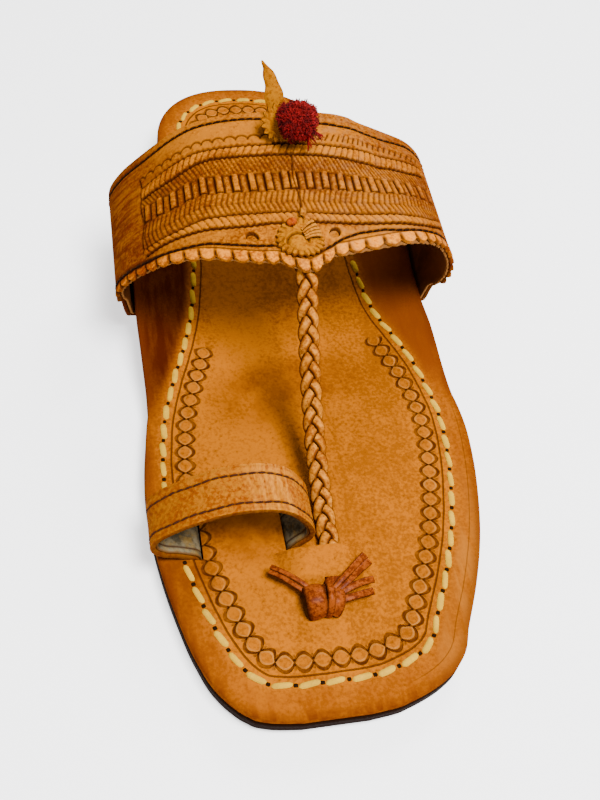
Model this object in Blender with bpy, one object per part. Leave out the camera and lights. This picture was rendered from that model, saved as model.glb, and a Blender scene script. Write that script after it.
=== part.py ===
"""Kolhapuri sandal for the left foot, standing empty on its sole.

X runs across the foot (minus is the big toe's side), Y from the toe to the heel and Z up.
The origin is on the floor, under the middle of the sandal.
"""

import math

import bmesh
import bpy
import numpy as np
from mathutils import Matrix, Vector

# Driving dimensions, in metres.
LENGTH = 0.272             # toe tip to heel end
BALL_HALF = 0.054          # half the width across the ball of the foot
HEEL_HALF = 0.0358         # half the width of the heel
HEEL_ROUND = 0.040         # length of the rounded back of the heel
TOE_END = -LENGTH / 2       # toe tip, from the origin
TOE_SPRING = 0.002         # lift of the toe tip over the floor
SPRING_START = 0.110       # where the toe starts to lift, forward of the middle
OUTSOLE_THICKNESS = 0.0045
INSOLE_THICKNESS = 0.0032
HEEL_LIFT = 0.010          # how much higher the heel of the outsole is than its forefoot
RISE_START = 0.006         # where the arch starts to rise, behind the middle
RISE_END = 0.066           # breast of the heel, where the arch has reached its height
LIFT_COUNT = 3             # leather layers in the heel
LIFT_GROOVE = 0.0004       # depth of the line between two heel layers

WING_LIFT = 0.007          # how high the side wings of the insole stand over it
WING_BEND = 0.027          # where a wing starts to bend up, from the centre line
WING_FRONT = -0.031        # front tip of a wing
WING_FULL = 0.002          # where a wing has its full height
WING_FADE = 0.054          # where a wing starts to come down again
WING_REAR = 0.082          # rear tip of a wing

BAND_HALF = 0.058          # half the outer width of the instep band
BAND_WALL = 0.0026         # thickness of the band
BAND_FRONT = -0.014        # front edge of the band at its crown
BAND_DEPTH = 0.060         # front edge to rear edge at the crown
FRONT_CROWN = 0.0525       # outer height of the band's front edge over the insole
REAR_CROWN = 0.0546        # outer height of the band's rear edge over the insole
TUCK_REACH = 0.037         # how far in the band's ends are tucked, from the centre line
TUCK_WALL = 0.0014         # skived thickness of the band's ends
SCALLOP_COUNT = 24         # scallops on each half of the band's front edge
SCALLOP_DEPTH = 0.0011
TONGUE_HALF = 0.010        # half width of the dip in the front edge over the braid
TONGUE_DIP = 0.0045

BRAID_WIDTH = 0.0070
BRAID_TOE_WIDTH = 0.0066
BRAID_THICKNESS = 0.0040
BRAID_PITCH = 0.0058       # length of one plait
BRAID_RELIEF = 0.0004      # how far the strips stand out
BRAID_X = -0.0008          # the braid's place across the foot
BRAID_END = TOE_END + 0.0445   # where the braid ends, inside the bridge

LOOP_HALF = 0.0241         # half the outer width of the toe loop
LOOP_X = -0.0298           # the loop's place across the foot
LOOP_Y = TOE_END + 0.0595
LOOP_HEIGHT = 0.0255       # outer height of the loop's top over the insole
LOOP_WIDTH = 0.0148        # width of the loop's strap
LOOP_WALL = 0.0024
LOOP_LEAN = 0.0015         # how much higher the loop's rear edge is than its front edge
LEG_MEDIAL = -0.0398       # slit that the loop's outer leg goes into
LEG_LATERAL = -0.0122      # slit that the loop's inner leg goes into

BRIDGE_X = -0.0050
BRIDGE_HALF = 0.0150       # half width of the raised bridge that holds the braid's end
BRIDGE_REAR = TOE_END + 0.0505
BRIDGE_FRONT = TOE_END + 0.0395
BRIDGE_HEIGHT = 0.0048
BRIDGE_ROOF = 0.0015

KNOT_X = -0.0058
KNOT_Y = TOE_END + 0.0340
KNOT_WIDTH = 0.0120
KNOT_DEPTH = 0.0092
KNOT_HEIGHT = 0.0072
TAIL_THICKNESS = 0.0018

FRONT_ROSETTE = (-0.0018, -0.0078)
FRONT_ROSETTE_RADIUS = 0.0077
REAR_ROSETTE = (-0.0010, 0.0372)
REAR_ROSETTE_RADIUS = 0.0064
ROSETTE_THICKNESS = 0.0012
ROSETTE_TEETH = 18
TOOTH_DEPTH = 0.0007

EAR_OFFSET = (-0.0018, 0.0034)  # the ear's foot, from the middle of the rear rosette
EAR_HEIGHT = 0.0165
EAR_WIDTH = 0.0062
EAR_THICKNESS = 0.0013
POMPOM = (0.0026, 0.0314)      # where the pompom sits, on the rear rosette
POMPOM_RADIUS = 0.0071
LOCK_LENGTH = 0.0011

GAP = 0.0003               # clearance between pieces that touch
CUT_PAST = 0.002           # how far a cutter runs past what it cuts

INSOLE_TOP = OUTSOLE_THICKNESS + GAP + INSOLE_THICKNESS
SEAT = 2.5 * GAP + 1.1 * ROSETTE_THICKNESS   # from the band to what stands on a rosette

# Outline of the sole's front and waist: station from the toe tip as a share of the length,
# then the medial and lateral edges as shares of the ball's half width.
SOLE_OUTLINE = [
    # station, medial, lateral
    (0.0000, 0.330, 0.020),
    (0.0028, 0.440, 0.150),
    (0.0075, 0.535, 0.240),
    (0.0150, 0.600, 0.345),
    (0.0280, 0.670, 0.470),
    (0.0440, 0.731, 0.560),
    (0.0810, 0.815, 0.655),
    (0.1290, 0.885, 0.770),
    (0.1840, 0.944, 0.875),
    (0.2390, 0.980, 0.948),
    (0.2940, 0.987, 0.998),
    (0.3490, 0.960, 1.020),
    (0.3930, 0.928, 1.003),
    (0.4410, 0.860, 0.945),
    (0.4960, 0.780, 0.861),
    (0.5510, 0.728, 0.787),
    (0.6070, 0.710, 0.755),
    (0.6800, 0.700, 0.735),
    (0.7540, 0.685, 0.708),
    (0.8090, 0.676, 0.690),
]
# The same for the edges of the two wings, which the insole carries from ball to heel.
WING_OUTLINE = [
    # station, medial, lateral
    (0.3930, 0.928, 1.003),
    (0.4230, 0.926, 0.990),
    (0.4600, 0.932, 0.975),
    (0.5150, 0.941, 0.961),
    (0.5700, 0.944, 0.954),
    (0.6250, 0.944, 0.954),
    (0.6800, 0.938, 0.948),
    (0.7170, 0.895, 0.905),
    (0.7460, 0.825, 0.835),
    (0.7720, 0.750, 0.762),
    (0.8010, 0.690, 0.700),
]

# Section of the band, from the crown down to the wing's edge. The half widths are shares of
# BAND_HALF, the heights over the insole shares of the two crowns, and the setbacks, which
# move the edges towards the heel, shares of BAND_DEPTH.
BAND_LINES = [
    # front medial, front lateral, front height, medial front setback, lateral front setback,
    # rear medial, rear lateral, rear height, rear setback
    (0.000, 0.000, 1.000, 0.000, 0.000, 0.000, 0.000, 1.000, 0.000),
    (0.224, 0.241, 0.990, 0.012, 0.060, 0.260, 0.260, 0.987, 0.000),
    (0.380, 0.492, 0.971, 0.050, 0.125, 0.414, 0.390, 0.958, 0.000),
    (0.517, 0.652, 0.939, 0.100, 0.175, 0.526, 0.474, 0.914, 0.000),
    (0.634, 0.773, 0.886, 0.142, 0.210, 0.629, 0.620, 0.848, 0.000),
    (0.750, 0.855, 0.810, 0.183, 0.242, 0.716, 0.784, 0.764, 0.005),
    (0.841, 0.921, 0.705, 0.230, 0.275, 0.810, 0.888, 0.659, 0.017),
    (0.928, 0.974, 0.581, 0.278, 0.308, 0.905, 0.952, 0.537, 0.033),
    (0.986, 1.000, 0.438, 0.326, 0.341, 0.976, 0.990, 0.396, 0.050),
    (0.983, 0.990, 0.295, 0.385, 0.388, 0.986, 1.000, 0.270, 0.066),
    (0.959, 0.966, 0.190, 0.440, 0.440, 0.966, 0.976, 0.180, 0.080),
]
# Lines of the band's ends under a wing: reach in from the wing's edge as a share of the way to
# TUCK_REACH, thinning as a share of the way from BAND_WALL to TUCK_WALL, and how far the wall
# still faces sideways, as a share of a right angle. The setback is a share of BAND_DEPTH.
TUCK_LINES = [
    # reach, thinning, sideways, setback
    (-0.050, 0.00, 0.80, 0.010),
    (0.050, 0.05, 0.40, 0.022),
    (0.250, 0.20, 0.05, 0.035),
    (0.550, 0.55, 0.00, 0.050),
    (1.000, 1.00, 0.00, 0.060),
]
# Rows across the band, from its front edge to its rear edge.
BAND_ROWS = (0.0, 0.07, 0.24, 0.43, 0.62, 0.81, 1.0)

# Centre line of the braid: Y as a share of BRAID_END, height over the insole as a share of
# FRONT_CROWN. It starts inside the band and ends inside the bridge.
BRAID_ROUTE = [
    # y, height
    (0.120, 0.935),
    (0.165, 0.925),
    (0.205, 0.900),
    (0.262, 0.775),
    (0.372, 0.565),
    (0.486, 0.382),
    (0.607, 0.230),
    (0.745, 0.108),
    (0.860, 0.052),
    (0.925, 0.034),
    (1.000, 0.030),
]

# Section of the toe loop from the medial slit over the top to the lateral slit: across as a
# share of LOOP_HALF, height over the insole as a share of LOOP_HEIGHT.
LOOP_LINES = [
    # across, height
    (-0.640, 0.060),
    (-0.830, 0.110),
    (-0.965, 0.230),
    (-1.000, 0.375),
    (-0.945, 0.520),
    (-0.780, 0.660),
    (-0.590, 0.780),
    (-0.390, 0.875),
    (-0.180, 0.955),
    (0.040, 0.997),
    (0.260, 1.000),
    (0.480, 0.965),
    (0.670, 0.870),
    (0.830, 0.700),
    (0.950, 0.510),
    (1.000, 0.330),
    (0.950, 0.165),
    (0.840, 0.075),
]

# Tails of the knot: start and tip from the knot's centre and the widths at both ends, as
# shares of KNOT_WIDTH; the height of the tip over the insole is a share of KNOT_HEIGHT.
KNOT_TAILS = [
    # start x, start y, tip x, tip y, tip height, start width, tip width
    (-0.30, 0.05, -1.22, 0.92, 0.62, 0.25, 0.28),
    (0.30, 0.10, 1.24, 0.93, 0.50, 0.25, 0.42),
    (0.30, -0.05, 1.28, 0.30, 0.40, 0.22, 0.25),
    (0.28, -0.22, 1.10, -0.02, 0.26, 0.20, 0.22),
]

COLOURS = {
    # name: (base colour, roughness)
    "footbed_leather": ((0.55, 0.26, 0.035, 1.0), 0.45),
    "sole_leather": ((0.16, 0.07, 0.02, 1.0), 0.6),
    "tooled_leather": ((0.46, 0.19, 0.04, 1.0), 0.45),
    "trim_leather": ((0.58, 0.30, 0.07, 1.0), 0.5),
    "red_wool": ((0.30, 0.01, 0.015, 1.0), 0.95),
}


def clear_scene():
    """Remove every object that is there before the sandal is made."""
    for old in list(bpy.data.objects):
        bpy.data.objects.remove(old, do_unlink=True)


def leather(name):
    """Return the plain material of this name, made on first use."""
    found = bpy.data.materials.get(name)
    if found:
        return found
    colour, roughness = COLOURS[name]
    made = bpy.data.materials.new(name)
    made.use_nodes = True
    shader = made.node_tree.nodes["Principled BSDF"]
    shader.inputs["Base Color"].default_value = colour
    shader.inputs["Roughness"].default_value = roughness
    shader.inputs["Metallic"].default_value = 0.0
    return made


def new_object(name, shape, material):
    """Turn a bmesh into an object with outward faces."""
    bmesh.ops.remove_doubles(shape, verts=shape.verts, dist=1e-6)
    bmesh.ops.recalc_face_normals(shape, faces=shape.faces)
    mesh = bpy.data.meshes.new(name)
    shape.to_mesh(mesh)
    shape.free()
    mesh.materials.append(leather(material))
    made = bpy.data.objects.new(name, mesh)
    bpy.context.collection.objects.link(made)
    return made


def combine(target, other, operation):
    """Join or cut target with another object, which becomes a hidden guide."""
    step = target.modifiers.new(operation.lower(), "BOOLEAN")
    step.operation = operation
    step.solver = "EXACT"
    step.object = other
    other.hide_render = True
    other.display_type = "WIRE"


def smoothstep(value):
    share = min(max(value, 0.0), 1.0)
    return share * share * (3 - 2 * share)


def smooth_row(table, place):
    """Read a table between its rows on a Catmull-Rom curve; place counts rows from 0."""
    rows = np.asarray(table, dtype=float)
    first = int(min(max(math.floor(place), 0), len(rows) - 2))
    t = place - first
    b, c = rows[first], rows[first + 1]
    a = rows[first - 1] if first > 0 else 2 * b - c
    d = rows[first + 2] if first + 2 < len(rows) else 2 * c - b
    return 0.5 * (2 * b + (c - a) * t + (2 * a - 5 * b + 4 * c - d) * t ** 2
                  + (3 * b - a - 3 * c + d) * t ** 3)


def sole_rise(y):
    """Height of the outsole's underside over the floor at a place along the sandal."""
    arch = HEEL_LIFT * smoothstep((y - RISE_START) / (RISE_END - RISE_START))
    ahead = max(0.0, -y - SPRING_START) / (LENGTH / 2 - SPRING_START)
    return arch + TOE_SPRING * ahead ** 2


def outline_edge(table, y, side):
    """Plan place of one edge from an outline table; side is -1 medial, +1 lateral."""
    stations = np.array([row[0] for row in table])
    shares = np.array([row[1] if side < 0 else row[2] for row in table])
    slopes = np.gradient(shares, stations)
    station = min(max(y / LENGTH + 0.5, stations[0]), stations[-1])
    k = min(int(np.searchsorted(stations, station, "right")) - 1, len(stations) - 2)
    span = stations[k + 1] - stations[k]
    t = (station - stations[k]) / span
    share = (shares[k] * (1 + 2 * t) * (1 - t) ** 2 + shares[k + 1] * t * t * (3 - 2 * t)
             + span * (slopes[k] * t * (1 - t) ** 2 - slopes[k + 1] * t * t * (1 - t)))
    return side * BALL_HALF * float(share)


def sole_edge(y, side):
    """Plan place of the outsole's edge; the back of the heel is a superellipse."""
    start = LENGTH / 2 - HEEL_ROUND
    if y <= start:
        return outline_edge(SOLE_OUTLINE, y, side)
    share = min((y - start) / HEEL_ROUND, 1.0)
    return side * HEEL_HALF * max((1 - share ** 2.4) ** (1 / 2.4), 0.12)


def insole_edge(y, side):
    """Plan place of the insole's edge, which runs out along the wings."""
    edge = sole_edge(y, side)
    station = y / LENGTH + 0.5
    if WING_OUTLINE[0][0] <= station <= WING_OUTLINE[-1][0]:
        wing = outline_edge(WING_OUTLINE, y, side)
        edge = side * max(abs(edge), abs(wing))
    return edge


def wing_lift(y):
    """Height of a wing's edge over the insole at a place along the sandal."""
    front = smoothstep((y - WING_FRONT) / (WING_FULL - WING_FRONT))
    rear = smoothstep((WING_REAR - y) / (WING_REAR - WING_FADE))
    return WING_LIFT * min(front, rear)


def wing_bend(x, y):
    """How far the insole is bent up at a point of its plan."""
    side = -1 if x < 0 else 1
    span = abs(insole_edge(y, side)) - WING_BEND
    share = max(0.0, abs(x) - WING_BEND) / max(span, GAP)
    return wing_lift(y) * min(share, 1.0) ** 1.5


def insole_under(x, y):
    return sole_rise(y) + OUTSOLE_THICKNESS + GAP + wing_bend(x, y)


def slab(name, stations, columns, edge, bottom, top, material):
    """A plate between two height functions, with its plan edge from a function."""
    shape = bmesh.new()
    layers = []
    for height in (bottom, top):
        layer = []
        for y in stations:
            left, right = edge(y, -1), edge(y, 1)
            middle, half = (left + right) / 2, (right - left) / 2
            row = [middle + half * c for c in columns]
            layer.append([shape.verts.new((x, y, height(x, y))) for x in row])
        layers.append(layer)
    under, over = layers
    last_row, last_column = len(stations) - 1, len(columns) - 1
    for i in range(last_row):
        for j in range(last_column):
            shape.faces.new((under[i][j], under[i + 1][j], under[i + 1][j + 1], under[i][j + 1]))
            shape.faces.new((over[i][j], over[i][j + 1], over[i + 1][j + 1], over[i + 1][j]))
        for j in (0, last_column):
            shape.faces.new((under[i][j], under[i + 1][j], over[i + 1][j], over[i][j]))
    for i in (0, last_row):
        for j in range(last_column):
            shape.faces.new((under[i][j], under[i][j + 1], over[i][j + 1], over[i][j]))
    return new_object(name, shape, material)


def tube(shape, rings):
    """Add a closed tube through rings of the same number of points."""
    loops = [[shape.verts.new(point) for point in ring] for ring in rings]
    count = len(loops[0])
    for a, b in zip(loops, loops[1:]):
        for k in range(count):
            n = (k + 1) % count
            shape.faces.new((a[k], a[n], b[n], b[k]))
    shape.faces.new(loops[0])
    shape.faces.new(loops[-1])


def sole_stations():
    """Stations along the sole, closer at the toe, in the waist and round the heel."""
    half = LENGTH / 2
    rows = [row[0] for row in SOLE_OUTLINE]
    rows += [(a + b) / 2 for a, b in zip(rows[:12], rows[1:13])]
    front = [-half + row * LENGTH for row in rows]
    front += [RISE_START + (RISE_END - RISE_START) * k / 6 for k in range(7)]
    round_start = half - HEEL_ROUND
    back = [round_start + HEEL_ROUND * math.sin(math.radians(a)) for a in range(0, 91, 10)]
    return sorted(set(round(y, 6) for y in front + back))


def build_outsole():
    columns = (-1, -0.5, 0, 0.5, 1)
    return slab("outsole", sole_stations(), columns, sole_edge,
                lambda x, y: sole_rise(y),
                lambda x, y: sole_rise(y) + OUTSOLE_THICKNESS, "sole_leather")


def build_heel():
    """The stacked heel: layers of leather under the back of the outsole."""
    half = LENGTH / 2
    turns = [math.radians(a) for a in range(0, 90, 10)]
    ys = [RISE_END] + [half - HEEL_ROUND + HEEL_ROUND * math.sin(a) for a in turns]
    lateral = [(sole_edge(y, 1), y) for y in ys]
    medial = [(sole_edge(y, -1), y) for y in reversed(ys)]
    outline = lateral + medial
    top = HEEL_LIFT - GAP
    layer = top / LIFT_COUNT
    shape = bmesh.new()
    rings = []
    for i in range(LIFT_COUNT):
        levels = ((i * layer, 1), (i * layer + LIFT_GROOVE, 0),
                  ((i + 1) * layer - LIFT_GROOVE, 0), ((i + 1) * layer, 1))
        for z, inset in levels[0 if i == 0 else 1:]:
            centre_y = (RISE_END + half) / 2
            scale = 1 - inset * LIFT_GROOVE / HEEL_HALF
            rings.append([(x * scale, centre_y + (y - centre_y) * scale, z) for x, y in outline])
    tube(shape, rings)
    return new_object("heel", shape, "sole_leather")


def box(name, low, high):
    """A plain box used as a cutter."""
    shape = bmesh.new()
    size = [b - a for a, b in zip(low, high)]
    centre = [(a + b) / 2 for a, b in zip(low, high)]
    bmesh.ops.create_cube(shape, size=1.0)
    bmesh.ops.scale(shape, vec=size, verts=shape.verts)
    bmesh.ops.translate(shape, vec=centre, verts=shape.verts)
    return new_object(name, shape, "sole_leather")


def build_bridge():
    """The hump of the insole under which the braid's end is drawn to the knot."""
    shape = bmesh.new()
    rings = []
    for k in range(7):
        share = k / 6
        y = BRIDGE_REAR + (BRIDGE_FRONT - BRIDGE_REAR) * share
        height = BRIDGE_HEIGHT * (1 - 0.18 * share * share)
        ring = []
        for j in range(11):
            across = -1 + j / 5
            bulge = height * (math.cos(math.pi * across) + 1) / 2
            ring.append((BRIDGE_X + BRIDGE_HALF * across, y, INSOLE_TOP + bulge - 0.1 * GAP))
        base = INSOLE_TOP - INSOLE_THICKNESS / 2
        ring.append((BRIDGE_X + BRIDGE_HALF, y, base))
        ring.append((BRIDGE_X - BRIDGE_HALF, y, base))
        rings.append(ring)
    tube(shape, rings)
    return new_object("bridge_form", shape, "footbed_leather")


def build_insole():
    """The insole with its two wings, the bridge and the slits for the loop's legs."""
    columns = (-1, -0.93, -0.84, -0.73, -0.6, -0.35, 0, 0.35, 0.6, 0.73, 0.84, 0.93, 1)
    half = LENGTH / 2
    wing = [-half + row[0] * LENGTH for row in WING_OUTLINE]
    stations = sorted(set(sole_stations() + [round(y, 6) for y in wing]))
    insole = slab("insole", stations, columns, insole_edge, insole_under,
                  lambda x, y: insole_under(x, y) + INSOLE_THICKNESS, "footbed_leather")
    combine(insole, build_bridge(), "UNION")
    tunnel_half = BRAID_TOE_WIDTH / 2 + 2 * GAP
    tunnel_top = INSOLE_TOP + BRIDGE_HEIGHT - BRIDGE_ROOF
    tunnel = box("tunnel", (BRAID_X - tunnel_half, BRIDGE_FRONT - CUT_PAST, INSOLE_TOP - GAP),
                 (BRAID_X + tunnel_half, BRIDGE_REAR + CUT_PAST, tunnel_top))
    combine(insole, tunnel, "DIFFERENCE")
    slit_half = LOOP_WALL / 2 + GAP
    for name, x in (("medial_slit", LEG_MEDIAL), ("lateral_slit", LEG_LATERAL)):
        low = (x - slit_half, LOOP_Y - LOOP_WIDTH / 2 - GAP, 0.0)
        high = (x + slit_half, LOOP_Y + LOOP_WIDTH / 2 + GAP, INSOLE_TOP + CUT_PAST)
        combine(insole, box(name, low, high), "DIFFERENCE")
    return insole


def band_point(line, side, share):
    """Outer surface of the band: line counts BAND_LINES rows, share runs front to rear."""
    row = smooth_row(BAND_LINES, line)
    front_x, setback, rear_x = (row[0], row[3], row[5]) if side < 0 else (row[1], row[4], row[6])
    y_front = BAND_FRONT + BAND_DEPTH * setback
    y_rear = BAND_FRONT + BAND_DEPTH * (1 + row[8])
    y = y_front + (y_rear - y_front) * share
    x = side * BAND_HALF * (front_x + (rear_x - front_x) * share)
    front_z = sole_rise(y_front) + FRONT_CROWN * row[2]
    rear_z = sole_rise(y_rear) + REAR_CROWN * row[7]
    z = INSOLE_TOP + front_z + (rear_z - front_z) * share
    dip = TONGUE_DIP * max(0.0, 1 - (x / TONGUE_HALF) ** 2) ** 2 * max(0.0, 1 - 4 * share)
    return np.array((x, y - dip, z))


def band_pair(line, side, share):
    """Outer and inner points of the band's wall at one place."""
    outer = band_point(line, side, share)
    step = 0.05
    last = len(BAND_LINES) - 1
    if line < step:
        along = np.array((1.0, 0.0, 0.0)) * side
    else:
        ahead = band_point(min(line + step, last), side, share)
        along = ahead - band_point(line - step, side, share)
    normal = np.array((-along[2], 0.0, along[0])) * side
    normal /= np.linalg.norm(normal)
    return outer, outer - normal * BAND_WALL


def tuck_pair(row, side, y):
    """Outer and inner points of the band where it is tucked under a wing."""
    reach, thinning, sideways, _ = row
    edge = abs(insole_edge(y, side))
    wall = BAND_WALL + (TUCK_WALL - BAND_WALL) * thinning
    x = edge - (edge - TUCK_REACH) * reach
    z = insole_under(side * x, y) - 1.5 * GAP
    turn = sideways * math.pi / 2
    inner = np.array((side * x, y, z))
    outer = np.array((side * (x + wall * math.sin(turn)), y, z - wall * math.cos(turn)))
    return outer, inner


def band_columns():
    """Column places on one half of the band, from the crown to its tucked end."""
    last = len(BAND_LINES) - 1
    samples = [band_point(last * k / 200, 1, 0.5) for k in range(201)]
    lengths = np.concatenate(([0.0], np.cumsum(
        [np.linalg.norm(b - a) for a, b in zip(samples, samples[1:])])))
    wanted = np.linspace(0, lengths[-1], SCALLOP_COUNT + 1)
    places = np.interp(wanted, lengths, [last * k / 200 for k in range(201)])
    return [("line", float(p)) for p in places] + [("tuck", i) for i in range(len(TUCK_LINES))]


def column_pair(column, side, share):
    """Outer and inner points of one column of the band."""
    kind, value = column
    if kind == "line":
        return band_pair(value, side, share)
    front = band_point(len(BAND_LINES) - 1, side, 0)[1]
    rear = band_point(len(BAND_LINES) - 1, side, 1)[1]
    front += BAND_DEPTH * TUCK_LINES[value][3]
    return tuck_pair(TUCK_LINES[value], side, front + (rear - front) * share)


def between(a, b, share):
    """A column place between two neighbouring columns of the band's upper part."""
    return ("line", a[1] + (b[1] - a[1]) * share)


def build_band():
    """The instep band: a hollow wall with scallops along its front edge."""
    half = band_columns()
    columns = [(c, -1) for c in reversed(half)] + [(c, 1) for c in half[1:]]
    shape = bmesh.new()
    outer, inner, rims = [], [], []
    for column, side in columns:
        pairs = [column_pair(column, side, share) for share in BAND_ROWS]
        outer.append([shape.verts.new(p[0]) for p in pairs])
        inner.append([shape.verts.new(p[1]) for p in pairs])
    for (a, side_a), (b, side_b) in zip(columns, columns[1:]):
        side = side_a if abs(a[1]) > 1e-9 or a[0] == "tuck" else side_b
        lobe = []
        if a[0] == "line" and b[0] == "line":
            for share in (0.28, 0.72):
                pair = column_pair(between(a, b, share), side, 0.0)
                lobe.append([shape.verts.new(p - np.array((0, SCALLOP_DEPTH, 0))) for p in pair])
        rims.append(lobe)
    last = len(BAND_ROWS) - 1
    for i in range(len(columns) - 1):
        front_outer = [outer[i][0]] + [p[0] for p in rims[i]] + [outer[i + 1][0]]
        front_inner = [inner[i][0]] + [p[1] for p in rims[i]] + [inner[i + 1][0]]
        shape.faces.new(front_outer + [outer[i + 1][1], outer[i][1]])
        shape.faces.new(front_inner + [inner[i + 1][1], inner[i][1]])
        for k in range(len(front_outer) - 1):
            shape.faces.new((front_outer[k], front_outer[k + 1],
                             front_inner[k + 1], front_inner[k]))
        for j in range(1, last):
            for grid in (outer, inner):
                shape.faces.new((grid[i][j], grid[i + 1][j], grid[i + 1][j + 1], grid[i][j + 1]))
        shape.faces.new((outer[i][last], outer[i + 1][last], inner[i + 1][last], inner[i][last]))
    for i in (0, len(columns) - 1):
        for j in range(last):
            shape.faces.new((outer[i][j], outer[i][j + 1], inner[i][j + 1], inner[i][j]))
    return new_object("upper", shape, "tooled_leather")


def braid_frame(share):
    """Centre, direction and size of the braid at a share of its route."""
    place = share * (len(BRAID_ROUTE) - 1)
    here = smooth_row(BRAID_ROUTE, place)
    ahead = smooth_row(BRAID_ROUTE, min(place + 0.02, len(BRAID_ROUTE) - 1))
    behind = smooth_row(BRAID_ROUTE, max(place - 0.02, 0.0))
    centre = np.array((BRAID_X, BRAID_END * here[0], INSOLE_TOP + FRONT_CROWN * here[1]))
    forward, upward = ahead - behind
    along = np.array((0.0, BRAID_END * forward, FRONT_CROWN * upward))
    along /= np.linalg.norm(along)
    width = BRAID_WIDTH + (BRAID_TOE_WIDTH - BRAID_WIDTH) * smoothstep(here[0])
    flat = smoothstep((here[0] - 0.86) / 0.08)
    thickness = BRAID_THICKNESS + (BRIDGE_HEIGHT - BRIDGE_ROOF - 2 * GAP - BRAID_THICKNESS) * flat
    return centre, along, width, thickness, 1 - flat


def build_braid():
    """The braided strap from the band to the bridge, with its strips raised."""
    samples = [braid_frame(k / 400)[0] for k in range(401)]
    lengths = np.concatenate(([0.0], np.cumsum(
        [np.linalg.norm(b - a) for a, b in zip(samples, samples[1:])])))
    count = int(round(lengths[-1] / (BRAID_PITCH / 4)))
    rings = []
    for k in range(count + 1):
        length = lengths[-1] * k / count
        share = float(np.interp(length, lengths, [s / 400 for s in range(401)]))
        centre, along, width, thickness, plaited = braid_frame(share)
        up = np.cross((1.0, 0.0, 0.0), along)
        if up[2] < 0:
            up = -up
        ring = []
        for across, top in ((-1.0, 0.0), (-0.82, 0.62), (-0.42, 1.0), (0.0, 0.72), (0.42, 1.0),
                            (0.82, 0.62), (1.0, 0.0), (0.7, -0.9), (-0.7, -0.9)):
            turn = length / BRAID_PITCH - 0.8 * abs(across) + (0.5 if across > 0 else 0.0)
            wave = math.sin(2 * math.pi * turn) * BRAID_RELIEF * plaited
            spread = across * (width / 2 + (wave if abs(across) > 0.8 else 0.0))
            rise = top * thickness / 2 + (wave if top > 0 and abs(across) > 0.1 else 0.0)
            ring.append(centre + np.array((spread, 0.0, 0.0)) + up * rise)
        rings.append(ring)
    shape = bmesh.new()
    tube(shape, rings)
    return new_object("braid_form", shape, "tooled_leather")


def build_upper():
    """Band and braided strap, joined where the strap goes under the band."""
    upper = build_band()
    combine(upper, build_braid(), "UNION")
    return upper


def loop_line(place):
    """Outer point of the toe loop's section, X and height over the insole."""
    across, height = smooth_row(LOOP_LINES, place)
    return np.array((LOOP_X + LOOP_HALF * across, LOOP_HEIGHT * height))


def build_toe_loop():
    """The toe loop: one strap whose two legs go down into the insole's slits."""
    last = len(LOOP_LINES) - 1
    places = [last * k / 30 for k in range(31)]
    outer_line = [loop_line(p) for p in places]
    inner_line = []
    for p, point in zip(places, outer_line):
        along = loop_line(min(p + 0.05, last)) - loop_line(max(p - 0.05, 0.0))
        normal = np.array((-along[1], along[0])) / np.linalg.norm(along)
        inner_line.append(point - normal * LOOP_WALL)
    depth = GAP - INSOLE_THICKNESS
    half = LOOP_WALL / 2
    start = [(LEG_MEDIAL - half, depth), (LEG_MEDIAL - half, 0.0)]
    start_in = [(LEG_MEDIAL + half, depth), (LEG_MEDIAL + half, 2 * GAP)]
    end = [(LEG_LATERAL + half, 0.0), (LEG_LATERAL + half, depth)]
    end_in = [(LEG_LATERAL - half, 2 * GAP), (LEG_LATERAL - half, depth)]
    outer_line = start + outer_line[2:-2] + end
    inner_line = start_in + inner_line[2:-2] + end_in
    shape = bmesh.new()
    rings = []
    for (ox, oz), (ix, iz) in zip(outer_line, inner_line):
        lean = LOOP_LEAN * max(0.0, oz) / LOOP_HEIGHT
        rear, front = LOOP_Y + LOOP_WIDTH / 2, LOOP_Y - LOOP_WIDTH / 2
        rings.append([(ox, front, INSOLE_TOP + oz - lean), (ox, rear, INSOLE_TOP + oz),
                      (ix, rear, INSOLE_TOP + iz), (ix, front, INSOLE_TOP + iz - lean)])
    tube(shape, rings)
    return new_object("toe_loop", shape, "tooled_leather")


def build_strip(name, points, widths, thickness):
    """A flat leather strip along a few points, its width turned level."""
    shape = bmesh.new()
    rings = []
    for k, point in enumerate(points):
        before = points[max(k - 1, 0)]
        after = points[min(k + 1, len(points) - 1)]
        along = (Vector(after) - Vector(before)).normalized()
        side = along.cross(Vector((0, 0, 1))).normalized()
        up = side.cross(along)
        half = widths[k] / 2
        centre = Vector(point)
        rings.append([centre + side * a * half + up * b * thickness / 2
                      for a, b in ((-1, -0.6), (1, -0.6), (1, 0.5), (0, 1), (-1, 0.5))])
    tube(shape, rings)
    return new_object(name, shape, "tooled_leather")


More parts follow.
